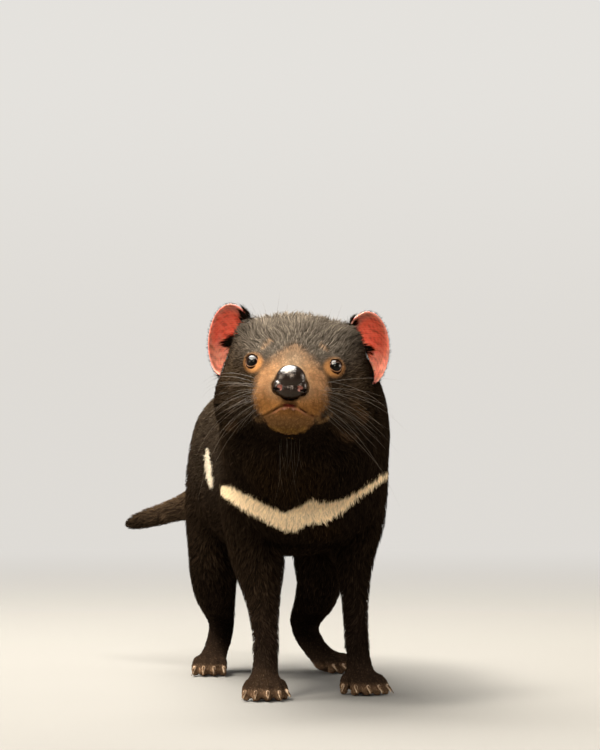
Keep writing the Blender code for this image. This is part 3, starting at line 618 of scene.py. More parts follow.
class Roots:
    """Where tufts grow on a mesh: for each one its face and its place in it."""

    def __init__(self, mesh, spacing, draw):
        self.points, self.faces = points_of(mesh), triangles_of(mesh)
        first, second, third = self.points[self.faces].transpose(1, 0, 2)
        areas = np.linalg.norm(np.cross(second - first, third - first), axis=1) / 2
        wanted = np.cumsum(areas / spacing[self.faces].mean(axis=1) ** 2)
        count = int(wanted[-1])
        faces = np.searchsorted(wanted, np.arange(count) + draw.random(count))
        self.face = np.minimum(faces, len(self.faces) - 1)
        shares = draw.random((count, 2))
        over = shares.sum(axis=1) > 1
        shares[over] = 1 - shares[over]
        self.shares = np.column_stack([1 - shares.sum(axis=1), shares])
        uv = np.empty(len(mesh.loops) * 2, np.float32)
        mesh.uv_layers[0].data.foreach_get("uv", uv)
        self.patch = (uv.reshape(-1, 3, 2)[self.face] * self.shares[:, :, None]).sum(axis=1)

    def read(self, values):
        """A field of the mesh's points, at the roots."""
        return np.einsum("nk,nk...->n...", self.shares, values[self.faces[self.face]])


def locks(name, centres, widths, upward, colours, patch):
    """Tapered closed locks as one mesh. Each has a root ring, a ring on the way and a tip."""
    count = len(centres)
    body_normals = upward
    ahead = unit(centres[:, 2] - centres[:, 0])
    across = unit(np.cross(ahead, upward))
    upward = np.cross(across, ahead)
    points = np.empty((count, TUFT_POINTS, 3))
    patches = np.empty((count, TUFT_POINTS, 2))
    for ring, (width, flat, spread) in enumerate(TUFT_RINGS):
        for corner in range(3):
            angle = math.pi / 2 + corner * 2 * math.pi / 3
            along, up = math.cos(angle), math.sin(angle)
            side = across * (along * width) + upward * (up * width * flat)
            points[:, 3 * ring + corner] = centres[:, ring] + side * widths[:, None] / 2
            patches[:, 3 * ring + corner] = patch + PATCH * spread * np.array((along, up))
    points[:, 6] = centres[:, 2]
    patches[:, 6] = patch
    tones = np.empty((count, TUFT_POINTS, 3))
    # Painted shade at the root and painted sheen at the tip, much less on pale tufts.
    pale = fade(-colours[:, :1], -0.16, -0.10)
    tones[:, 0:3] = colours[:, None] * (ROOT_SHADE + PALE_ROOT * pale)[:, None]
    tones[:, 3:6] = colours[:, None] * RING_TONE
    tones[:, 6] = colours * (TIP_SHEEN - PALE_TIP * pale)
    first_points = TUFT_POINTS * np.arange(count)[:, None, None]
    corners = (TUFT_FACES + first_points).reshape(-1).astype(np.int32)
    mesh = bpy.data.meshes.new(name)
    mesh.vertices.add(TUFT_POINTS * count)
    mesh.vertices.foreach_set("co", points.astype(np.float32).ravel())
    mesh.loops.add(len(corners))
    mesh.loops.foreach_set("vertex_index", corners)
    mesh.polygons.add(len(corners) // 3)
    mesh.polygons.foreach_set("loop_start", np.arange(0, len(corners), 3, dtype=np.int32))
    mesh.update(calc_edges=True)
    spine = centres[:, [0, 0, 0, 1, 1, 1, 2]]
    own = unit(points - spine)
    own[:, 6] = 0
    shading = unit(own * OWN_SHADE + body_normals[:, None]).reshape(-1, 3)
    patches = patches.reshape(-1, 2)[corners].reshape(count, 10, 3, 2)
    patches[:, 9] = patches[:, 9, :1]
    layer = mesh.uv_layers.new(name="OFBake")
    layer.data.foreach_set("uv", patches.astype(np.float32).ravel())
    finished(mesh, tones.reshape(-1, 3), coat_finish)
    mesh.normals_split_custom_set_from_vertices(shading.tolist())
    piece = added(name, mesh)
    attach(piece, "root")


def clump_tips(points, tips, size, pull):
    """Draws the tips of tufts towards the tip of the nearest leading tuft."""
    cells = np.unique(np.floor(points / size).astype(int), axis=0, return_index=True)[1]
    tree = KDTree(len(cells))
    for cell in cells:
        tree.insert(points[cell], cell)
    tree.balance()
    leader = np.array([tree.find(point)[1] for point in points])
    pull = pull * fade(np.linalg.norm(tips[leader] - tips, axis=1), size * 0.6, size * 1.8)
    return mixed(tips, tips[leader], pull)


coat_finish = fur_material("coat_finish", 0.60, 420, 0, 0.18, 0)
draw = np.random.default_rng(21)
roots = Roots(hide.data, coat[:, 3], draw)
root_points = roots.read(roots.points)
root_normals = unit(roots.read(normals_of(hide.data)))
root_coat = roots.read(coat)
root_lie = roots.read(lie)
root_kinds = kinds[roots.faces[roots.face, 0]]
count = len(root_points)

swirl = 0.30 * waves(root_points, 0.030, 3) + 0.22 * waves(root_points, 0.011, 4)
swirl += draw.normal(0, 0.16, count)
root_lie = unit(root_lie - root_normals * (root_lie * root_normals).sum(axis=1)[:, None])
sideways = np.cross(root_normals, root_lie)
root_lie = root_lie * np.cos(swirl)[:, None] + sideways * np.sin(swirl)[:, None]

length = root_coat[:, 1] * draw.uniform(0.65, 1.20, count)
standing = roots.read(np.maximum(on_crown, by_ear))
rise = np.minimum(root_coat[:, 0] * draw.uniform(0.35, 1.10, count), 0.50 * length)
rise *= 1 + standing * draw.uniform(0, 1.0, count)
rise += 0.0010 * np.isin(root_kinds, ["upper_foreleg", "lower_foreleg", "thigh", "shank"])
hide_tree = BVHTree.FromPolygons(roots.points.tolist(), roots.faces.tolist())
aims = clump_tips(root_points, root_points + root_lie * length[:, None], CLUMP_SIZE, CLUMP_PULL)
found = [hide_tree.find_nearest(aim) for aim in aims]
landed = np.array([place for place, _, _, _ in found])
land_normals = np.array([normal for _, normal, _, _ in found])
tips = landed + land_normals * rise[:, None]
bends = root_points * 0.52 + landed * 0.48
bends += unit(root_normals + land_normals) * (rise * 0.80)[:, None]
centres = np.stack([root_points - root_normals * TUFT_ROOT, bends, tips], axis=1)
widths = root_coat[:, 2] * draw.uniform(0.7, 1.25, count)
tuft_tones = coat_colours(root_points * 0.5 + landed * 0.5, root_kinds)
pale = fade(-tuft_tones[:, 0], -0.20, -0.10)
tuft_tones *= np.exp(draw.normal(0, 1, count) * (0.40 - 0.28 * pale))[:, None]
tuft_tones *= np.exp(0.26 * roots.read(on_crown) * waves(root_points, 0.0045, 12))[:, None]

right, front = root_points[:, 0] < 0, root_points[:, 1] < -0.110
head_side, head_back = in_head(root_points)[:, :2].T
COAT_PIECES = {
    # The parts that a piece of coat covers, and which of their roots are its own.
    "coat_face_right": (["head"], (head_back <= 0.030) & (head_side < 0)),
    "coat_face_left": (["head"], (head_back <= 0.030) & (head_side >= 0)),
    "coat_nape": (["head"], head_back > 0.030),
    "coat_neck": (["neck"], head_back > -1),
    "coat_chest": (["torso"], front),
    "coat_right_flank": (["torso"], right & ~front),
    "coat_left_flank": (["torso"], ~right & ~front),
    "coat_tail": (["tail"], head_back > -1),
    "coat_right_foreleg": (["upper_foreleg", "lower_foreleg", "forepaw"], right),
    "coat_left_foreleg": (["upper_foreleg", "lower_foreleg", "forepaw"], ~right),
    "coat_right_hindleg": (["thigh", "shank", "hind_paw"], right),
    "coat_left_hindleg": (["thigh", "shank", "hind_paw"], ~right),
}
for name, (parts, there) in COAT_PIECES.items():
    mine = np.isin(root_kinds, parts) & there
    locks(name, centres[mine], widths[mine], root_normals[mine], tuft_tones[mine], roots.patch[mine])


# The eyes. Each is one glossy ball, with the cornea bulging from it over a dark brown iris and a
# wide pupil. Bare tan lids close round it as one soft ring, thin at the ball and spread on the hide.

EYE_RADIUS = 0.0072
CORNEA_ANGLE = math.radians(42)
CORNEA_RISE = 0.0007
PUPIL_ANGLE, IRIS_ANGLE = math.radians(32), math.radians(50)
PUPIL_BLACK = (0.0015, 0.0012, 0.0010)
IRIS_BROWN = (0.016, 0.006, 0.003)
SCLERA_BROWN = (0.010, 0.004, 0.003)
OPENING_WIDTH, OPENING_ABOVE, OPENING_BELOW = 0.0042, 0.0031, 0.0036
OPENING_SQUARENESS = 2.3
EYE_CORNER = 0.0010
LID_REACH_ABOVE, LID_REACH_BELOW = 0.0034, 0.0044
LID_RING, LID_WIDTH = 0.0066, 0.0020
LID_PROFILE = [
    # Share of the way from the outer edge to the inner one, and the height over ball or hide there.
    (0.00, -0.0006), (0.15, 0.0000), (0.38, 0.0003), (0.62, 0.0002),
    (0.84, 0.0006), (0.95, 0.0005), (1.00, 0.0001),
]
GAZE = (0.22, -0.96, 0.06)
LIDS_FACING = (0.36, -0.90, 0.10)
HIDE_SEEN_FROM = 0.03
LID_DEPTH = 0.0009
LID_SKIN = (0.42, 0.185, 0.062)
LID_SHADE = (0.150, 0.070, 0.028)
LID_DARK = (0.022, 0.010, 0.006)
CORNER_PINK = (0.45, 0.17, 0.12)


def placed(piece):
    """Leaves the object at the origin, with its place in its mesh."""
    solo(piece)
    bpy.ops.object.transform_apply(location=True, rotation=True, scale=True)
    return piece


eye_finish = fur_material("eye_finish", 0.04, 900, 0, 0.10, 0.13)
lid_finish = fur_material("lid_finish", 0.50, 1600, 0.0001, 0.20, 0.3)
for side_name, side in SIDES.items():
    gaze = head_turn @ Vector((side * GAZE[0], *GAZE[1:])).normalized()
    bpy.ops.mesh.primitive_uv_sphere_add(
        segments=40, ring_count=28, radius=EYE_RADIUS, location=eye_places[side_name],
        rotation=gaze.to_track_quat("Z", "Y").to_euler(),
    )
    eye = placed(bpy.context.active_object)
    eye.name = "eyeball_" + side_name
    centre = np.array(eye_places[side_name])
    spots = points_of(eye.data) - centre
    angle = np.arccos(np.clip(unit(spots) @ np.array(gaze), -1, 1))
    cornea = CORNEA_RISE * fade(angle, 0, CORNEA_ANGLE)
    set_points(eye.data, centre + spots + unit(spots) * cornea[:, None])
    tones = mixed(SCLERA_BROWN, IRIS_BROWN, fade(angle, IRIS_ANGLE * 0.95, IRIS_ANGLE * 1.08))
    tones = mixed(tones, PUPIL_BLACK, fade(angle, PUPIL_ANGLE * 0.92, PUPIL_ANGLE * 1.1))
    finished(eye.data, tones, eye_finish)
    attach(eye, "root")
    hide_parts("eye_" + side_name)

    bpy.ops.mesh.primitive_torus_add(
        major_radius=LID_RING, minor_radius=LID_WIDTH, major_segments=64, minor_segments=24
    )
    lids = bpy.context.active_object
    lids.name = "eyelids_" + side_name
    outward = head_turn @ Vector((side * LIDS_FACING[0], *LIDS_FACING[1:])).normalized()
    sideward = (head_x - outward * outward.dot(head_x)).normalized()
    ring = points_of(lids.data)
    around = unit(ring[:, :2])
    inner = (1 - (np.hypot(ring[:, 0], ring[:, 1]) - LID_RING) / LID_WIDTH) / 2
    outer, below = 1 - inner, -around[:, 1]
    above = 0.5 + 0.5 * around[:, 1]
    medial = np.maximum(-side * around[:, 0], 0)
    height = OPENING_BELOW + (OPENING_ABOVE - OPENING_BELOW) * above
    halves = np.column_stack([np.full(len(ring), OPENING_WIDTH), height])
    opening = ((np.abs(around) / halves) ** OPENING_SQUARENESS).sum(axis=1)
    opening = opening ** (-1 / OPENING_SQUARENESS) + EYE_CORNER * medial ** 8
    reach = LID_REACH_BELOW + (LID_REACH_ABOVE - LID_REACH_BELOW) * above
    radius = opening + reach * outer
    offset = around[:, :1] * np.array(sideward) + around[:, 1:] * np.array(outward.cross(sideward))
    offset = offset * radius[:, None]
    on_ball = np.sqrt(np.maximum(EYE_RADIUS ** 2 - radius ** 2, 0))
    on_hide = []
    for spot, ball in zip(centre + offset, on_ball):
        hit = hide_tree.ray_cast(Vector(spot) + outward * HIDE_SEEN_FROM, -outward)[3]
        on_hide.append(ball if hit is None else HIDE_SEEN_FROM - hit)
    lift = on_ball + (np.array(on_hide) - on_ball) * (1 - fade(outer, 0.05, 0.85))
    profile = np.interp(inner, *np.array(LID_PROFILE).T)
    lift += profile - LID_DEPTH * np.maximum(-ring[:, 2] / LID_WIDTH, 0)
    set_points(lids.data, centre + offset + np.array(outward) * lift[:, None])
    tones = mixed(LID_SKIN, LID_SHADE, fade(below, -0.80, 0.10) * 0.75)
    tones = mixed(tones, LID_DARK, fade(below, -0.45, 0.05) * fade(outer, 0.20, 0.48) * 0.9)
    tones = mixed(tones, LID_DARK, fade(outer, 0.03, 0.11) * 0.9)
    tones = mixed(tones, CORNER_PINK, medial ** 10 * fade(outer, 0.05, 0.30) * 0.7)
    beside = coat_colours(points_of(lids.data), np.full(len(ring), "head"))
    finished(lids.data, mixed(tones, beside, fade(inner, 0.10, 0.55)), lid_finish)
    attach(lids, "root")


# The nose. A bare pad of wet black leather: a rounded block with a wing over each nostril, a groove
# down its middle and comma-shaped nostrils that are pink inside.

NOSE_GRAIN = 0.00040
NOSE_FORMS = [
    # Centre, and half sizes, of the rounded forms that melt into the pad.
    ((0, -0.0385, -0.0112), (0.0120, 0.0098, 0.0112)),
    ((0, -0.0392, -0.0196), (0.0112, 0.0088, 0.0086)),
    ((0.0083, -0.0388, -0.0174), (0.0055, 0.0074, 0.0066)),
    ((-0.0083, -0.0388, -0.0174), (0.0055, 0.0074, 0.0066)),
]
NOSTRIL_FORMS = [
    ((0.0080, -0.0455, -0.0184), (0.0025, 0.0060, 0.0024), 25),
    ((0.0116, -0.0430, -0.0198), (0.0030, 0.0048, 0.0013), 50),
]
NOSE_SMOOTHING = 10
GROOVE_DEPTH = 0.0007
NOSTRIL_INSIDE = (0.0076, -0.0430, -0.0180)
NOSE_BLACK = (0.0070, 0.0035, 0.0020)
NOSTRIL_PINK = (0.80, 0.40, 0.32)
NOSE_TINT = (1, 0.84, 0.70, 1)


def from_head(points):
    """Points of the head's frame in the world."""
    return np.asarray(points, float) @ head_axes + np.array(head_middle)


def head_ball(centre, radii, roll=0):
    """A rounded form at a place of the head's frame."""
    bpy.ops.mesh.primitive_uv_sphere_add(segments=28, ring_count=18, radius=1)
    ball = bpy.context.active_object
    ball.matrix_world = (
        Matrix.Translation(Vector(from_head(centre))) @ head_turn.to_4x4()
        @ Matrix.Rotation(math.radians(roll), 4, "Z") @ Matrix.Diagonal((*radii, 1))
    )
    return placed(ball)


nose = joined([head_ball(*form) for form in NOSE_FORMS], "nose_pad")
modified(nose, "REMESH", mode="VOXEL", voxel_size=NOSE_GRAIN)
modified(nose, "SMOOTH", factor=0.5, iterations=NOSE_SMOOTHING)
nostrils = joined([
    head_ball((side * centre[0], *centre[1:]), radii, side * turn)
    for side in SIDES.values() for centre, radii, turn in NOSTRIL_FORMS
], "nostrils")
modified(nostrils, "REMESH", mode="VOXEL", voxel_size=NOSE_GRAIN)
modified(nose, "BOOLEAN", object=nostrils, operation="DIFFERENCE", solver="EXACT")
bpy.data.objects.remove(nostrils)
nose_spots = points_of(nose.data)
nose_head = in_head(nose_spots)
groove = fade(np.abs(nose_head[:, 0]), 0.0002, 0.0011) * fade(nose_head[:, 2], -0.0165, -0.0125)
set_points(nose.data, nose_spots + np.array(head_y) * (GROOVE_DEPTH * groove)[:, None])
flares = [away(nose_head, np.array(NOSTRIL_INSIDE) * (side, 1, 1)) for side in SIDES.values()]
nose_finish = fur_material("nose_finish", 0.20, 1500, 0.00020, 0.15, 0.36)
filled(nose_finish.node_tree.nodes["Principled BSDF"], {"Specular Tint": NOSE_TINT})
tones = mixed(NOSE_BLACK, NOSTRIL_PINK, fade(np.min(flares, axis=0), 0.0024, 0.0036) * 0.9)
finished(nose.data, tones, nose_finish)
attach(nose, "root")
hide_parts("nose")


# The ears. Thin bare cups of red, blood-filled skin, paler low down, duller at the rim; the strong red
# high up is partly a painted glow of light through the thin skin. The fur of the brow runs out over
# their inner edge and in a dark tuft across the cup, and covers their backs.

EAR_GRAIN = 0.00065
EAR_SMOOTHING = 12
EAR_THIN = 0.0004
EAR_RED_GLOW = (1.00, 0.160, 0.095)
EAR_PALE = (1.00, 0.330, 0.220)
EAR_RIM = (0.62, 0.200, 0.140)
EAR_BACK = (0.060, 0.030, 0.024)
EAR_FUR_EDGE = {"right": 0.0462, "left": 0.0435}
EAR_END = 0.0125
EAR_CUP, EAR_HALVES = (0.0580, 0, 0.0170), (0.0150, 0.0265)
EAR_BASE = (0.0400, 0.0560, 0.0080)
ear_finish = fur_material("ear_finish", 0.50, 700, 0.0003, 0.22, 0.2)
filled(ear_finish.node_tree.nodes["Principled BSDF"], {
    "Subsurface Weight": 0.8, "Subsurface Radius": (0.010, 0.0025, 0.0015),
})
for side_name, side in SIDES.items():
    ear = merged_copy("ear_" + side_name, "earcup_" + side_name)
    modified(ear, "REMESH", mode="VOXEL", voxel_size=EAR_GRAIN)
    modified(ear, "SMOOTH", factor=0.5, iterations=EAR_SMOOTHING)
    modified(ear, "DISPLACE", strength=-EAR_THIN, mid_level=0)
    unwrapped(ear)
    spots, facing = points_of(ear.data), normals_of(ear.data)
    local = in_head(spots) * (side, 1, 1)
    front = fade(facing @ head_axes[1], -0.15, 0.25)
    # Redder high up: the skin's own red, with a painted glow of light shining through the thin skin.
    tones = mixed(EAR_RED_GLOW, EAR_PALE, fade(local[:, 2], 0.004, 0.022))
    edge = np.linalg.norm((local - EAR_CUP)[:, [0, 2]] / EAR_HALVES, axis=1)
    tones = mixed(tones, EAR_RIM, 1 - fade(edge, 0.82, 1.02))
    tones *= (1 + 0.20 * waves(spots, 0.006, 8) + 0.16 * waves(spots, 0.0025, 18))[:, None]
    tuft = 0.0155 * np.exp(-((local[:, 2] - 0.0150) / 0.0065) ** 2)
    inner_edge = local[:, 0] - EAR_FUR_EDGE[side_name] - tuft + 0.0010 * waves(spots, 0.004, 9)
    lower_end = -local[:, 2] + 0.0010 * waves(spots, 0.004, 10)
    cup = fade(inner_edge, -0.003, 0.002)
    cup = np.maximum(cup, 1 - fade(lower_end, EAR_END - 0.0015, EAR_END + 0.0010))
    behind = mixed(EAR_BACK, np.array(EAR_RIM) * 0.6, 1 - fade(edge, 0.75, 0.95))
    tones = mixed(behind, mixed(tones, BLACK, cup), front)
    finished(ear.data, np.clip(tones, 0, 1), ear_finish)
    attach(ear, "root")
    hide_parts("ear_" + side_name)

    # Fur of the ear: black over its back, its inner edge and the tuft in the cup.
    back_fur = np.where(edge > 0.90, 0.0013, 0.0008)
    spacing = np.where(front > 0.30, np.where(cup > 0.3, 0.00062, 0.0500), back_fur)
    grown = Roots(ear.data, spacing, draw)
    starts = grown.read(grown.points)
    count = len(starts)
    ups = unit(grown.read(facing))
    in_cup = grown.read(cup) > 0.4
    from_base = unit(in_head(starts) * (side, 1, 1) - EAR_BASE) * (side, 1, 1)
    way = from_base @ head_axes
    way = unit(way - ups * (way * ups).sum(axis=1)[:, None])
    reach = np.where(in_cup, 0.0070, 0.0034) * draw.uniform(0.6, 1.2, count)
    lift = 0.0012 * draw.uniform(0.4, 1.2, count)
    ends = starts + way * reach[:, None] + ups * lift[:, None]
    middles = starts + way * (reach * 0.5)[:, None] + ups * (lift * 0.9)[:, None]
    centres = np.stack([starts - ups * 0.0003, middles, ends], axis=1)
    shades = np.array(BLACK) * np.exp(draw.normal(0, 0.25, count))[:, None]
    thick = np.where(in_cup, 0.00055, 0.00034) * draw.uniform(0.7, 1.2, count)
    locks("ear_fur_" + side_name, centres, thick, ups, shades, grown.patch)


# The claws. Strong, dull horn, one at the end of each toe, curving down to the ground.

PAWS = {
    # Where the palm stands, and how far the paw is turned in degrees.
    "forepaw_right": (-0.0377, -0.1643, -13), "forepaw_left": (0.0538, -0.1233, 10),
    "hind_paw_right": (-0.0422, 0.1017, -12), "hind_paw_left": (0.0678, 0.1107, 30),
}
FORE_TOES = [
    # Side offset, turn in degrees, reach, and how far forward the root is.
    (-0.0108, -10, 0.0185, 0.005), (-0.0036, -3, 0.0215, 0.007),
    (0.0038, 4, 0.0215, 0.007), (0.0110, 11, 0.0185, 0.005),
]
HIND_TOES = [
    (-0.0102, -9, 0.0185, 0.005), (-0.0035, -3, 0.0215, 0.006),
    (0.0035, 3, 0.0215, 0.006), (0.0102, 9, 0.0190, 0.005),
]
FIFTH_TOE = (0.0125, 32, 0.0125, -0.003)
CLAW_LENGTH = 0.0092
CLAW_RADIUS = 0.0020
CLAW_STEPS = 7
CLAW_TAPER, CLAW_POINT = 0.55, 0.25
CLAW_HEIGHT = 0.0086
HORN_ROOT = (0.170, 0.100, 0.058)
HORN_TIP = (0.340, 0.240, 0.150)


def claw(name):
    """One claw at the origin, pointing along -Y: a ring drawn out, bent down and narrowed in steps."""
    bpy.ops.object.select_all(action="DESELECT")
    bpy.ops.mesh.primitive_circle_add(
        vertices=10, radius=CLAW_RADIUS, fill_type="NGON", rotation=(math.pi / 2, 0, 0)
    )
    piece = placed(bpy.context.active_object)
    piece.name = name
    opened(piece)
    centre = Vector((0, 0, 0))
    for step in range(CLAW_STEPS):
        drop = math.radians(4 + 9 * step)
        move = Vector((0, -math.cos(drop), -math.sin(drop))) * (CLAW_LENGTH * 1.25 / CLAW_STEPS)
        bpy.ops.mesh.extrude_region_move(TRANSFORM_OT_translate={"value": move})
        centre = centre + move
        narrow = CLAW_POINT
        if step < CLAW_STEPS - 1:
            narrow = (1 - (step + 1) / CLAW_STEPS) ** CLAW_TAPER / (1 - step / CLAW_STEPS) ** CLAW_TAPER
        bpy.ops.transform.resize(value=(narrow, narrow, narrow), center_override=centre)
    bpy.ops.object.mode_set(mode="OBJECT")
    opened(piece)
    bpy.ops.mesh.normals_make_consistent(inside=False)
    bpy.ops.object.mode_set(mode="OBJECT")
    return piece


def toes_of(paw):
    """For each toe, its frame, pointing along -Y, and its reach."""
    x, y, turn = PAWS[paw]
    palm = Matrix.Translation((x, y, 0)) @ Matrix.Rotation(math.radians(turn), 4, "Z")
    toes = list(HIND_TOES)
    if paw.startswith("fore"):
        inward = 1 if paw.endswith("right") else -1
        toes = FORE_TOES + [(inward * FIFTH_TOE[0], inward * FIFTH_TOE[1], *FIFTH_TOE[2:])]
    for side, lean, reach, forward in toes:
        root = Matrix.Translation((side, -forward, 0)) @ Matrix.Rotation(math.radians(lean), 4, "Z")
        yield palm @ root, reach


claw_finish = fur_material("claw_finish", 0.50, 900, 0.0001, 0.25, 0.2)
for paw in PAWS:
    claws = []
    for root, reach in toes_of(paw):
        one = claw("claw")
        rooted = fade(-points_of(one.data)[:, 1], CLAW_LENGTH * 0.2, CLAW_LENGTH * 0.9)
        finished(one.data, mixed(HORN_TIP, HORN_ROOT, rooted), claw_finish)
        one.matrix_world = root @ Matrix.Translation((0, -0.84 * reach, CLAW_HEIGHT))
        claws.append(placed(one))
    claws = joined(claws, "claws_" + paw)
    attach(claws, "root")


# The whiskers and long hairs. Stiff tapering bristles in rows on the whisker pads, a few over the
# eyes, on the cheeks and the crown, and soft brown ones that hang under the chin.

WHISKER_TONE = (0.120, 0.092, 0.068)
CHIN_TONE = (0.045, 0.030, 0.018)
WHISKER_LIMIT = 0.106
HAIR_LIMIT = 0.347
HAIR_ROOT = 0.001
WHISKER_SIDES = 4
WHISKER_RINGS = 9
LONG_HAIRS = [
    # Single stiff hairs over the brow and on the cheeks: where each grows, which way, and its length.
    ((-0.0190, 0.0000, 0.0220), (0.06, -0.10, 1.0), 0.0420),
    ((-0.0215, 0.0020, 0.0200), (-0.35, -0.20, 1.0), 0.0300),
    ((0.0200, 0.0000, 0.0200), (0.25, -0.15, 1.0), 0.0330),
    ((0.0225, 0.0020, 0.0180), (0.50, -0.20, 0.9), 0.0270),
    ((-0.0330, 0.0350, 0.0420), (-0.45, 0.10, 1.0), 0.0220),
    ((-0.0270, 0.0380, 0.0430), (-0.20, 0.05, 1.0), 0.0200),
    ((0.0310, 0.0330, 0.0410), (0.15, 0.05, 1.0), 0.0210),
    ((-0.0120, 0.0450, 0.0460), (0.05, 0.10, 1.0), 0.0150),
    ((-0.0480, 0.0120, -0.0250), (-0.85, -0.20, -0.25), 0.0180),
    ((0.0490, 0.0120, -0.0220), (0.85, -0.25, -0.20), 0.0360),
    ((-0.0470, 0.0130, -0.0320), (-0.80, -0.30, -0.50), 0.0180),
    ((0.0480, 0.0130, -0.0300), (0.80, -0.30, -0.45), 0.0330),
    ((-0.0440, 0.0140, -0.0400), (-0.60, -0.35, -0.75), 0.0220),
    ((0.0450, 0.0140, -0.0380), (0.65, -0.35, -0.70), 0.0300),
]
WHISKER_ROWS, WHISKER_COLUMNS = 5, 5
WHISKER_FALL = (0, 0.10, -0.26)
FINE_HAIR = 0.00011
CHIN_HAIRS = 11


def bristles(name, starts, bends, ends, radii, tone):
    """Tapered hairs along smooth bows from start to end, as one mesh."""
    count, ring = len(starts), WHISKER_SIDES
    share = np.linspace(0, 1, WHISKER_RINGS)[None, :, None]
    line = (1 - share) ** 2 * starts[:, None] + 2 * share * (1 - share) * bends[:, None]
    line += share ** 2 * ends[:, None]
    ahead = unit(np.gradient(line, axis=1))
    across = unit(np.cross(ahead, (0.13, 0.31, 0.94)))
    upward = np.cross(across, ahead)
    width = radii[:, None, None] * (1 - 0.88 * share)
    points = []
    for corner in range(ring):
        angle = 2 * math.pi * corner / ring
        points.append(line + (across * math.cos(angle) + upward * math.sin(angle)) * width)
    points = np.stack(points, axis=2).reshape(-1, 3)
    faces = []
    for low in range(0, (WHISKER_RINGS - 1) * ring, ring):
        for corner in range(ring):
            following = (corner + 1) % ring
            high = low + ring
            faces.append((low + corner, low + following, high + following, high + corner))
    last = (WHISKER_RINGS - 1) * ring
    faces += [tuple(range(ring))[::-1], tuple(range(last, last + ring))]
    every = [
        tuple(hair * ring * WHISKER_RINGS + corner for corner in face)
        for hair in range(count) for face in faces
    ]
    mesh = bpy.data.meshes.new(name)
    mesh.from_pydata(points.tolist(), [], every)
    fading = np.tile(np.repeat(np.linspace(0.25, 1.6, WHISKER_RINGS), ring), count)
    finished(mesh, np.array(tone) * fading[:, None], whisker_finish)
    piece = added(name, mesh)
    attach(piece, "root")


def on_the_hide(place):
    """The spot of the hide nearest to a place."""
    return np.array(hide_tree.find_nearest(Vector(place))[0])


whisker_finish = fur_material("whisker_finish", 0.45, 300, 0, 0.10, 0.2)
whisker_draw = np.random.default_rng(31)
for side_name, side in SIDES.items():
    starts, bends, ends, radii = [], [], [], []
    for row in range(WHISKER_ROWS):
        for column in range(WHISKER_COLUMNS):
            back = column / (WHISKER_COLUMNS - 1)
            spot = from_head((
                side * 0.030, -0.0400 + 0.0230 * back + whisker_draw.normal(0, 0.0016),
                -0.0125 - 0.0056 * row - 0.004 * (1 - back) + whisker_draw.normal(0, 0.0014),
            ))
            start = on_the_hide(spot)
            size = (0.020 + 0.050 * back) * whisker_draw.uniform(0.60, 1.25)
            sweep = 0.10 + 0.40 * back + whisker_draw.normal(0, 0.16)
            rise = 0.16 - 0.18 * row + whisker_draw.normal(0, 0.13)
            way = unit(np.array((side * 0.80, sweep, rise))) @ head_axes
            droop = whisker_draw.uniform(0.3, 1.6)
            end = start + way * size + np.array(WHISKER_FALL) * size * droop
            over = max(0.0, abs(end[0]) - WHISKER_LIMIT)
            starts.append(start - way * HAIR_ROOT)
            bends.append(start + way * size * whisker_draw.uniform(0.45, 0.65))
            ends.append(end - np.array((over * np.sign(end[0]), -over * 0.6, over * 0.5)))
            radii.append((0.00009 + 0.00006 * back) * whisker_draw.uniform(0.8, 1.2))
    bristles("whiskers_" + side_name, *map(np.array, (starts, bends, ends, radii)), WHISKER_TONE)

starts, bends, ends = [], [], []
for place, way, size in LONG_HAIRS:
    start = on_the_hide(from_head(place))
    way = unit(np.array(way)) @ head_axes
    starts.append(start - way * HAIR_ROOT)
    bends.append(start + way * size * 0.55)
    sag = np.array((whisker_draw.normal(0, 0.002), 0.08 * size, -0.06 * size))
    ends.append(start + way * size + sag)
    ends[-1][2] = min(ends[-1][2], HAIR_LIMIT)
radii = np.full(len(starts), FINE_HAIR)
bristles("brow_hairs", *map(np.array, (starts, bends, ends)), radii, WHISKER_TONE)

starts, bends, ends = [], [], []
for _ in range(CHIN_HAIRS):
    start = on_the_hide(from_head((
        whisker_draw.uniform(-0.011, 0.013), whisker_draw.uniform(0.004, 0.024), -0.062
    )))
    size = whisker_draw.uniform(0.020, 0.062)
    starts.append(start)
    bends.append(start + np.array((whisker_draw.normal(0, 0.002), -0.003, -0.6 * size)))
    ends.append(start + np.array((whisker_draw.normal(0, 0.007), 0.002, -size)))
radii = np.full(len(starts), FINE_HAIR)
bristles("chin_hairs", *map(np.array, (starts, bends, ends)), radii, CHIN_TONE)


# The floor, the light and the camera. A plain matt floor that melts into haze far off, a warm high
# sun from the animal's right front, soft lamps all round, and a long lens at the height of the eyes.

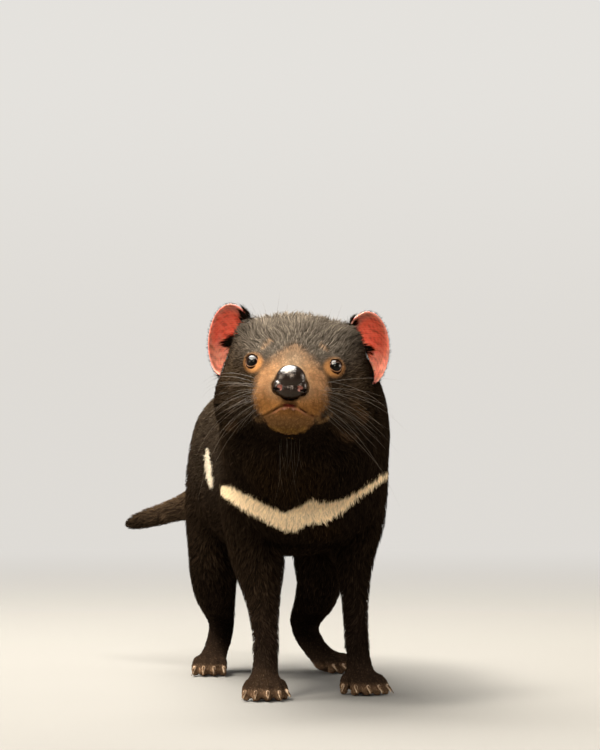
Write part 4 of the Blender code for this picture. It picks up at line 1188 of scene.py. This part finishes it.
FLOOR_RADIUS = 14
FLOOR_COLOUR = (0.168, 0.164, 0.156, 1)
HAZE_FROM, HAZE_FULL = 0.4, 2.6
HORIZON = (0.735, 0.710, 0.672, 1)
HIGH_BACKDROP, BACKDROP_RISE = (0.780, 0.760, 0.725, 1), 0.085
AMBIENT, AMBIENT_STRENGTH = (1, 0.95, 0.88, 1), 0.22
LENS, SENSOR = 180, 36
CAMERA_DISTANCE, CAMERA_ASIDE, CAMERA_BELOW = 3.0, 0.0048, 0.00816
LOOK, ACROSS = Vector((0.17365, 0.98481, 0)), Vector((0.98481, -0.17365, 0))
SUN_WAY, SUN_SOFTNESS = (0.50, 0.42, -0.92), math.radians(14)
SUN_STRENGTH, SUN_COLOUR = 3.9, (1, 0.93, 0.82)
BODY_MIDDLE = (0, -0.1, 0.2)
LAMPS = [
    # Name, place, what it is turned to, size, power and colour. The last one is the open sky over
    # the head, which only shows as the wet shine on nose and eyes.
    ("fill", (-0.35, -3.3, 1.7), BODY_MIDDLE, 0.7, 80, (1, 0.96, 0.90)),
    ("top", (-0.45, 0.45, 2.2), BODY_MIDDLE, 1.9, 250, (1, 0.95, 0.86)),
    ("right_side", (-2.4, -0.5, 0.8), BODY_MIDDLE, 0.9, 40, (1, 0.95, 0.88)),
    ("left_side", (2.4, -0.3, 0.8), BODY_MIDDLE, 0.9, 28, (1, 0.95, 0.88)),
    ("sky", (-0.35, -0.35, 1.55), (-0.05, -0.36, 0.27), 1.6, 300, (0.86, 0.95, 1)),
]


def lamp(name, kind, way, power, colour):
    """A lamp that shines this way."""
    light = added(name, bpy.data.lights.new(name, kind))
    light.rotation_euler = Vector(way).to_track_quat("-Z", "Y").to_euler()
    light.data.energy = power
    light.data.color = colour
    return light


bpy.ops.mesh.primitive_circle_add(vertices=96, radius=FLOOR_RADIUS, fill_type="NGON", location=(0, 0, 0))
floor = bpy.context.active_object
floor.name = "floor"
camera = added("camera", bpy.data.cameras.new("camera"))
bpy.context.scene.camera = camera
camera.location = head_middle - CAMERA_DISTANCE * LOOK + CAMERA_ASIDE * ACROSS
camera.location -= CAMERA_BELOW * Vector((0, 0, 1))
camera.rotation_euler = LOOK.to_track_quat("-Z", "Y").to_euler()
camera.data.lens = LENS
camera.data.sensor_width = SENSOR

lamp("key", "SUN", SUN_WAY, SUN_STRENGTH, SUN_COLOUR).data.angle = SUN_SOFTNESS
for name, place, aim, size, power, colour in LAMPS:
    soft = lamp(name, "AREA", Vector(aim) - Vector(place), power, colour)
    soft.location = place
    soft.data.size = size
    soft.visible_diffuse = soft.visible_transmission = name != "sky"

world = bpy.data.worlds.new("studio")
bpy.context.scene.world = world
world.use_nodes = True
sky_tree = world.node_tree
ambient = filled(sky_tree.nodes["Background"], {"Color": AMBIENT, "Strength": AMBIENT_STRENGTH})
seen = node_of(sky_tree, "Background")
toward = node_of(sky_tree, "TexCoord")
parts = node_of(sky_tree, "SeparateXYZ")
height = node_of(sky_tree, "MapRange", {"From Max": BACKDROP_RISE}, interpolation_type="SMOOTHSTEP")
backdrop = node_of(sky_tree, "Mix", {6: HORIZON, 7: HIGH_BACKDROP}, data_type="RGBA")
direct = node_of(sky_tree, "LightPath")
either = node_of(sky_tree, "MixShader")
joined_up(
    sky_tree, (toward, "Generated", parts, 0), (parts, "Z", height, "Value"),
    (height, "Result", backdrop, "Factor"), (backdrop, 2, seen, "Color"),
    (direct, "Is Camera Ray", either, "Fac"), (ambient, "Background", either, 1),
    (seen, "Background", either, 2), (either, "Shader", sky_tree.nodes["World Output"], "Surface"),
)
bpy.context.scene.view_settings.view_transform = "Standard"

floor_finish = bpy.data.materials.new("floor_finish")
floor_finish.use_nodes = True
floor_tree = floor_finish.node_tree
floor_shader = filled(floor_tree.nodes["Principled BSDF"], {
    "Base Color": FLOOR_COLOUR, "Roughness": 0.9, "Specular IOR Level": 0,
})
floor_place = node_of(floor_tree, "TexCoord")
distance = node_of(floor_tree, "VectorMath", operation="LENGTH")
far = node_of(floor_tree, "MapRange", interpolation_type="SMOOTHSTEP")
filled(far, {"From Min": HAZE_FROM, "From Max": HAZE_FULL})
haze = node_of(floor_tree, "Emission", {"Color": HORIZON})
blend = node_of(floor_tree, "MixShader")
joined_up(
    floor_tree, (floor_place, "Object", distance, 0), (distance, "Value", far, "Value"),
    (far, "Result", blend, "Fac"), (floor_shader, "BSDF", blend, 1),
    (haze, "Emission", blend, 2), (blend, "Shader", floor_tree.nodes["Material Output"], "Surface"),
)
floor.data.materials.append(floor_finish)
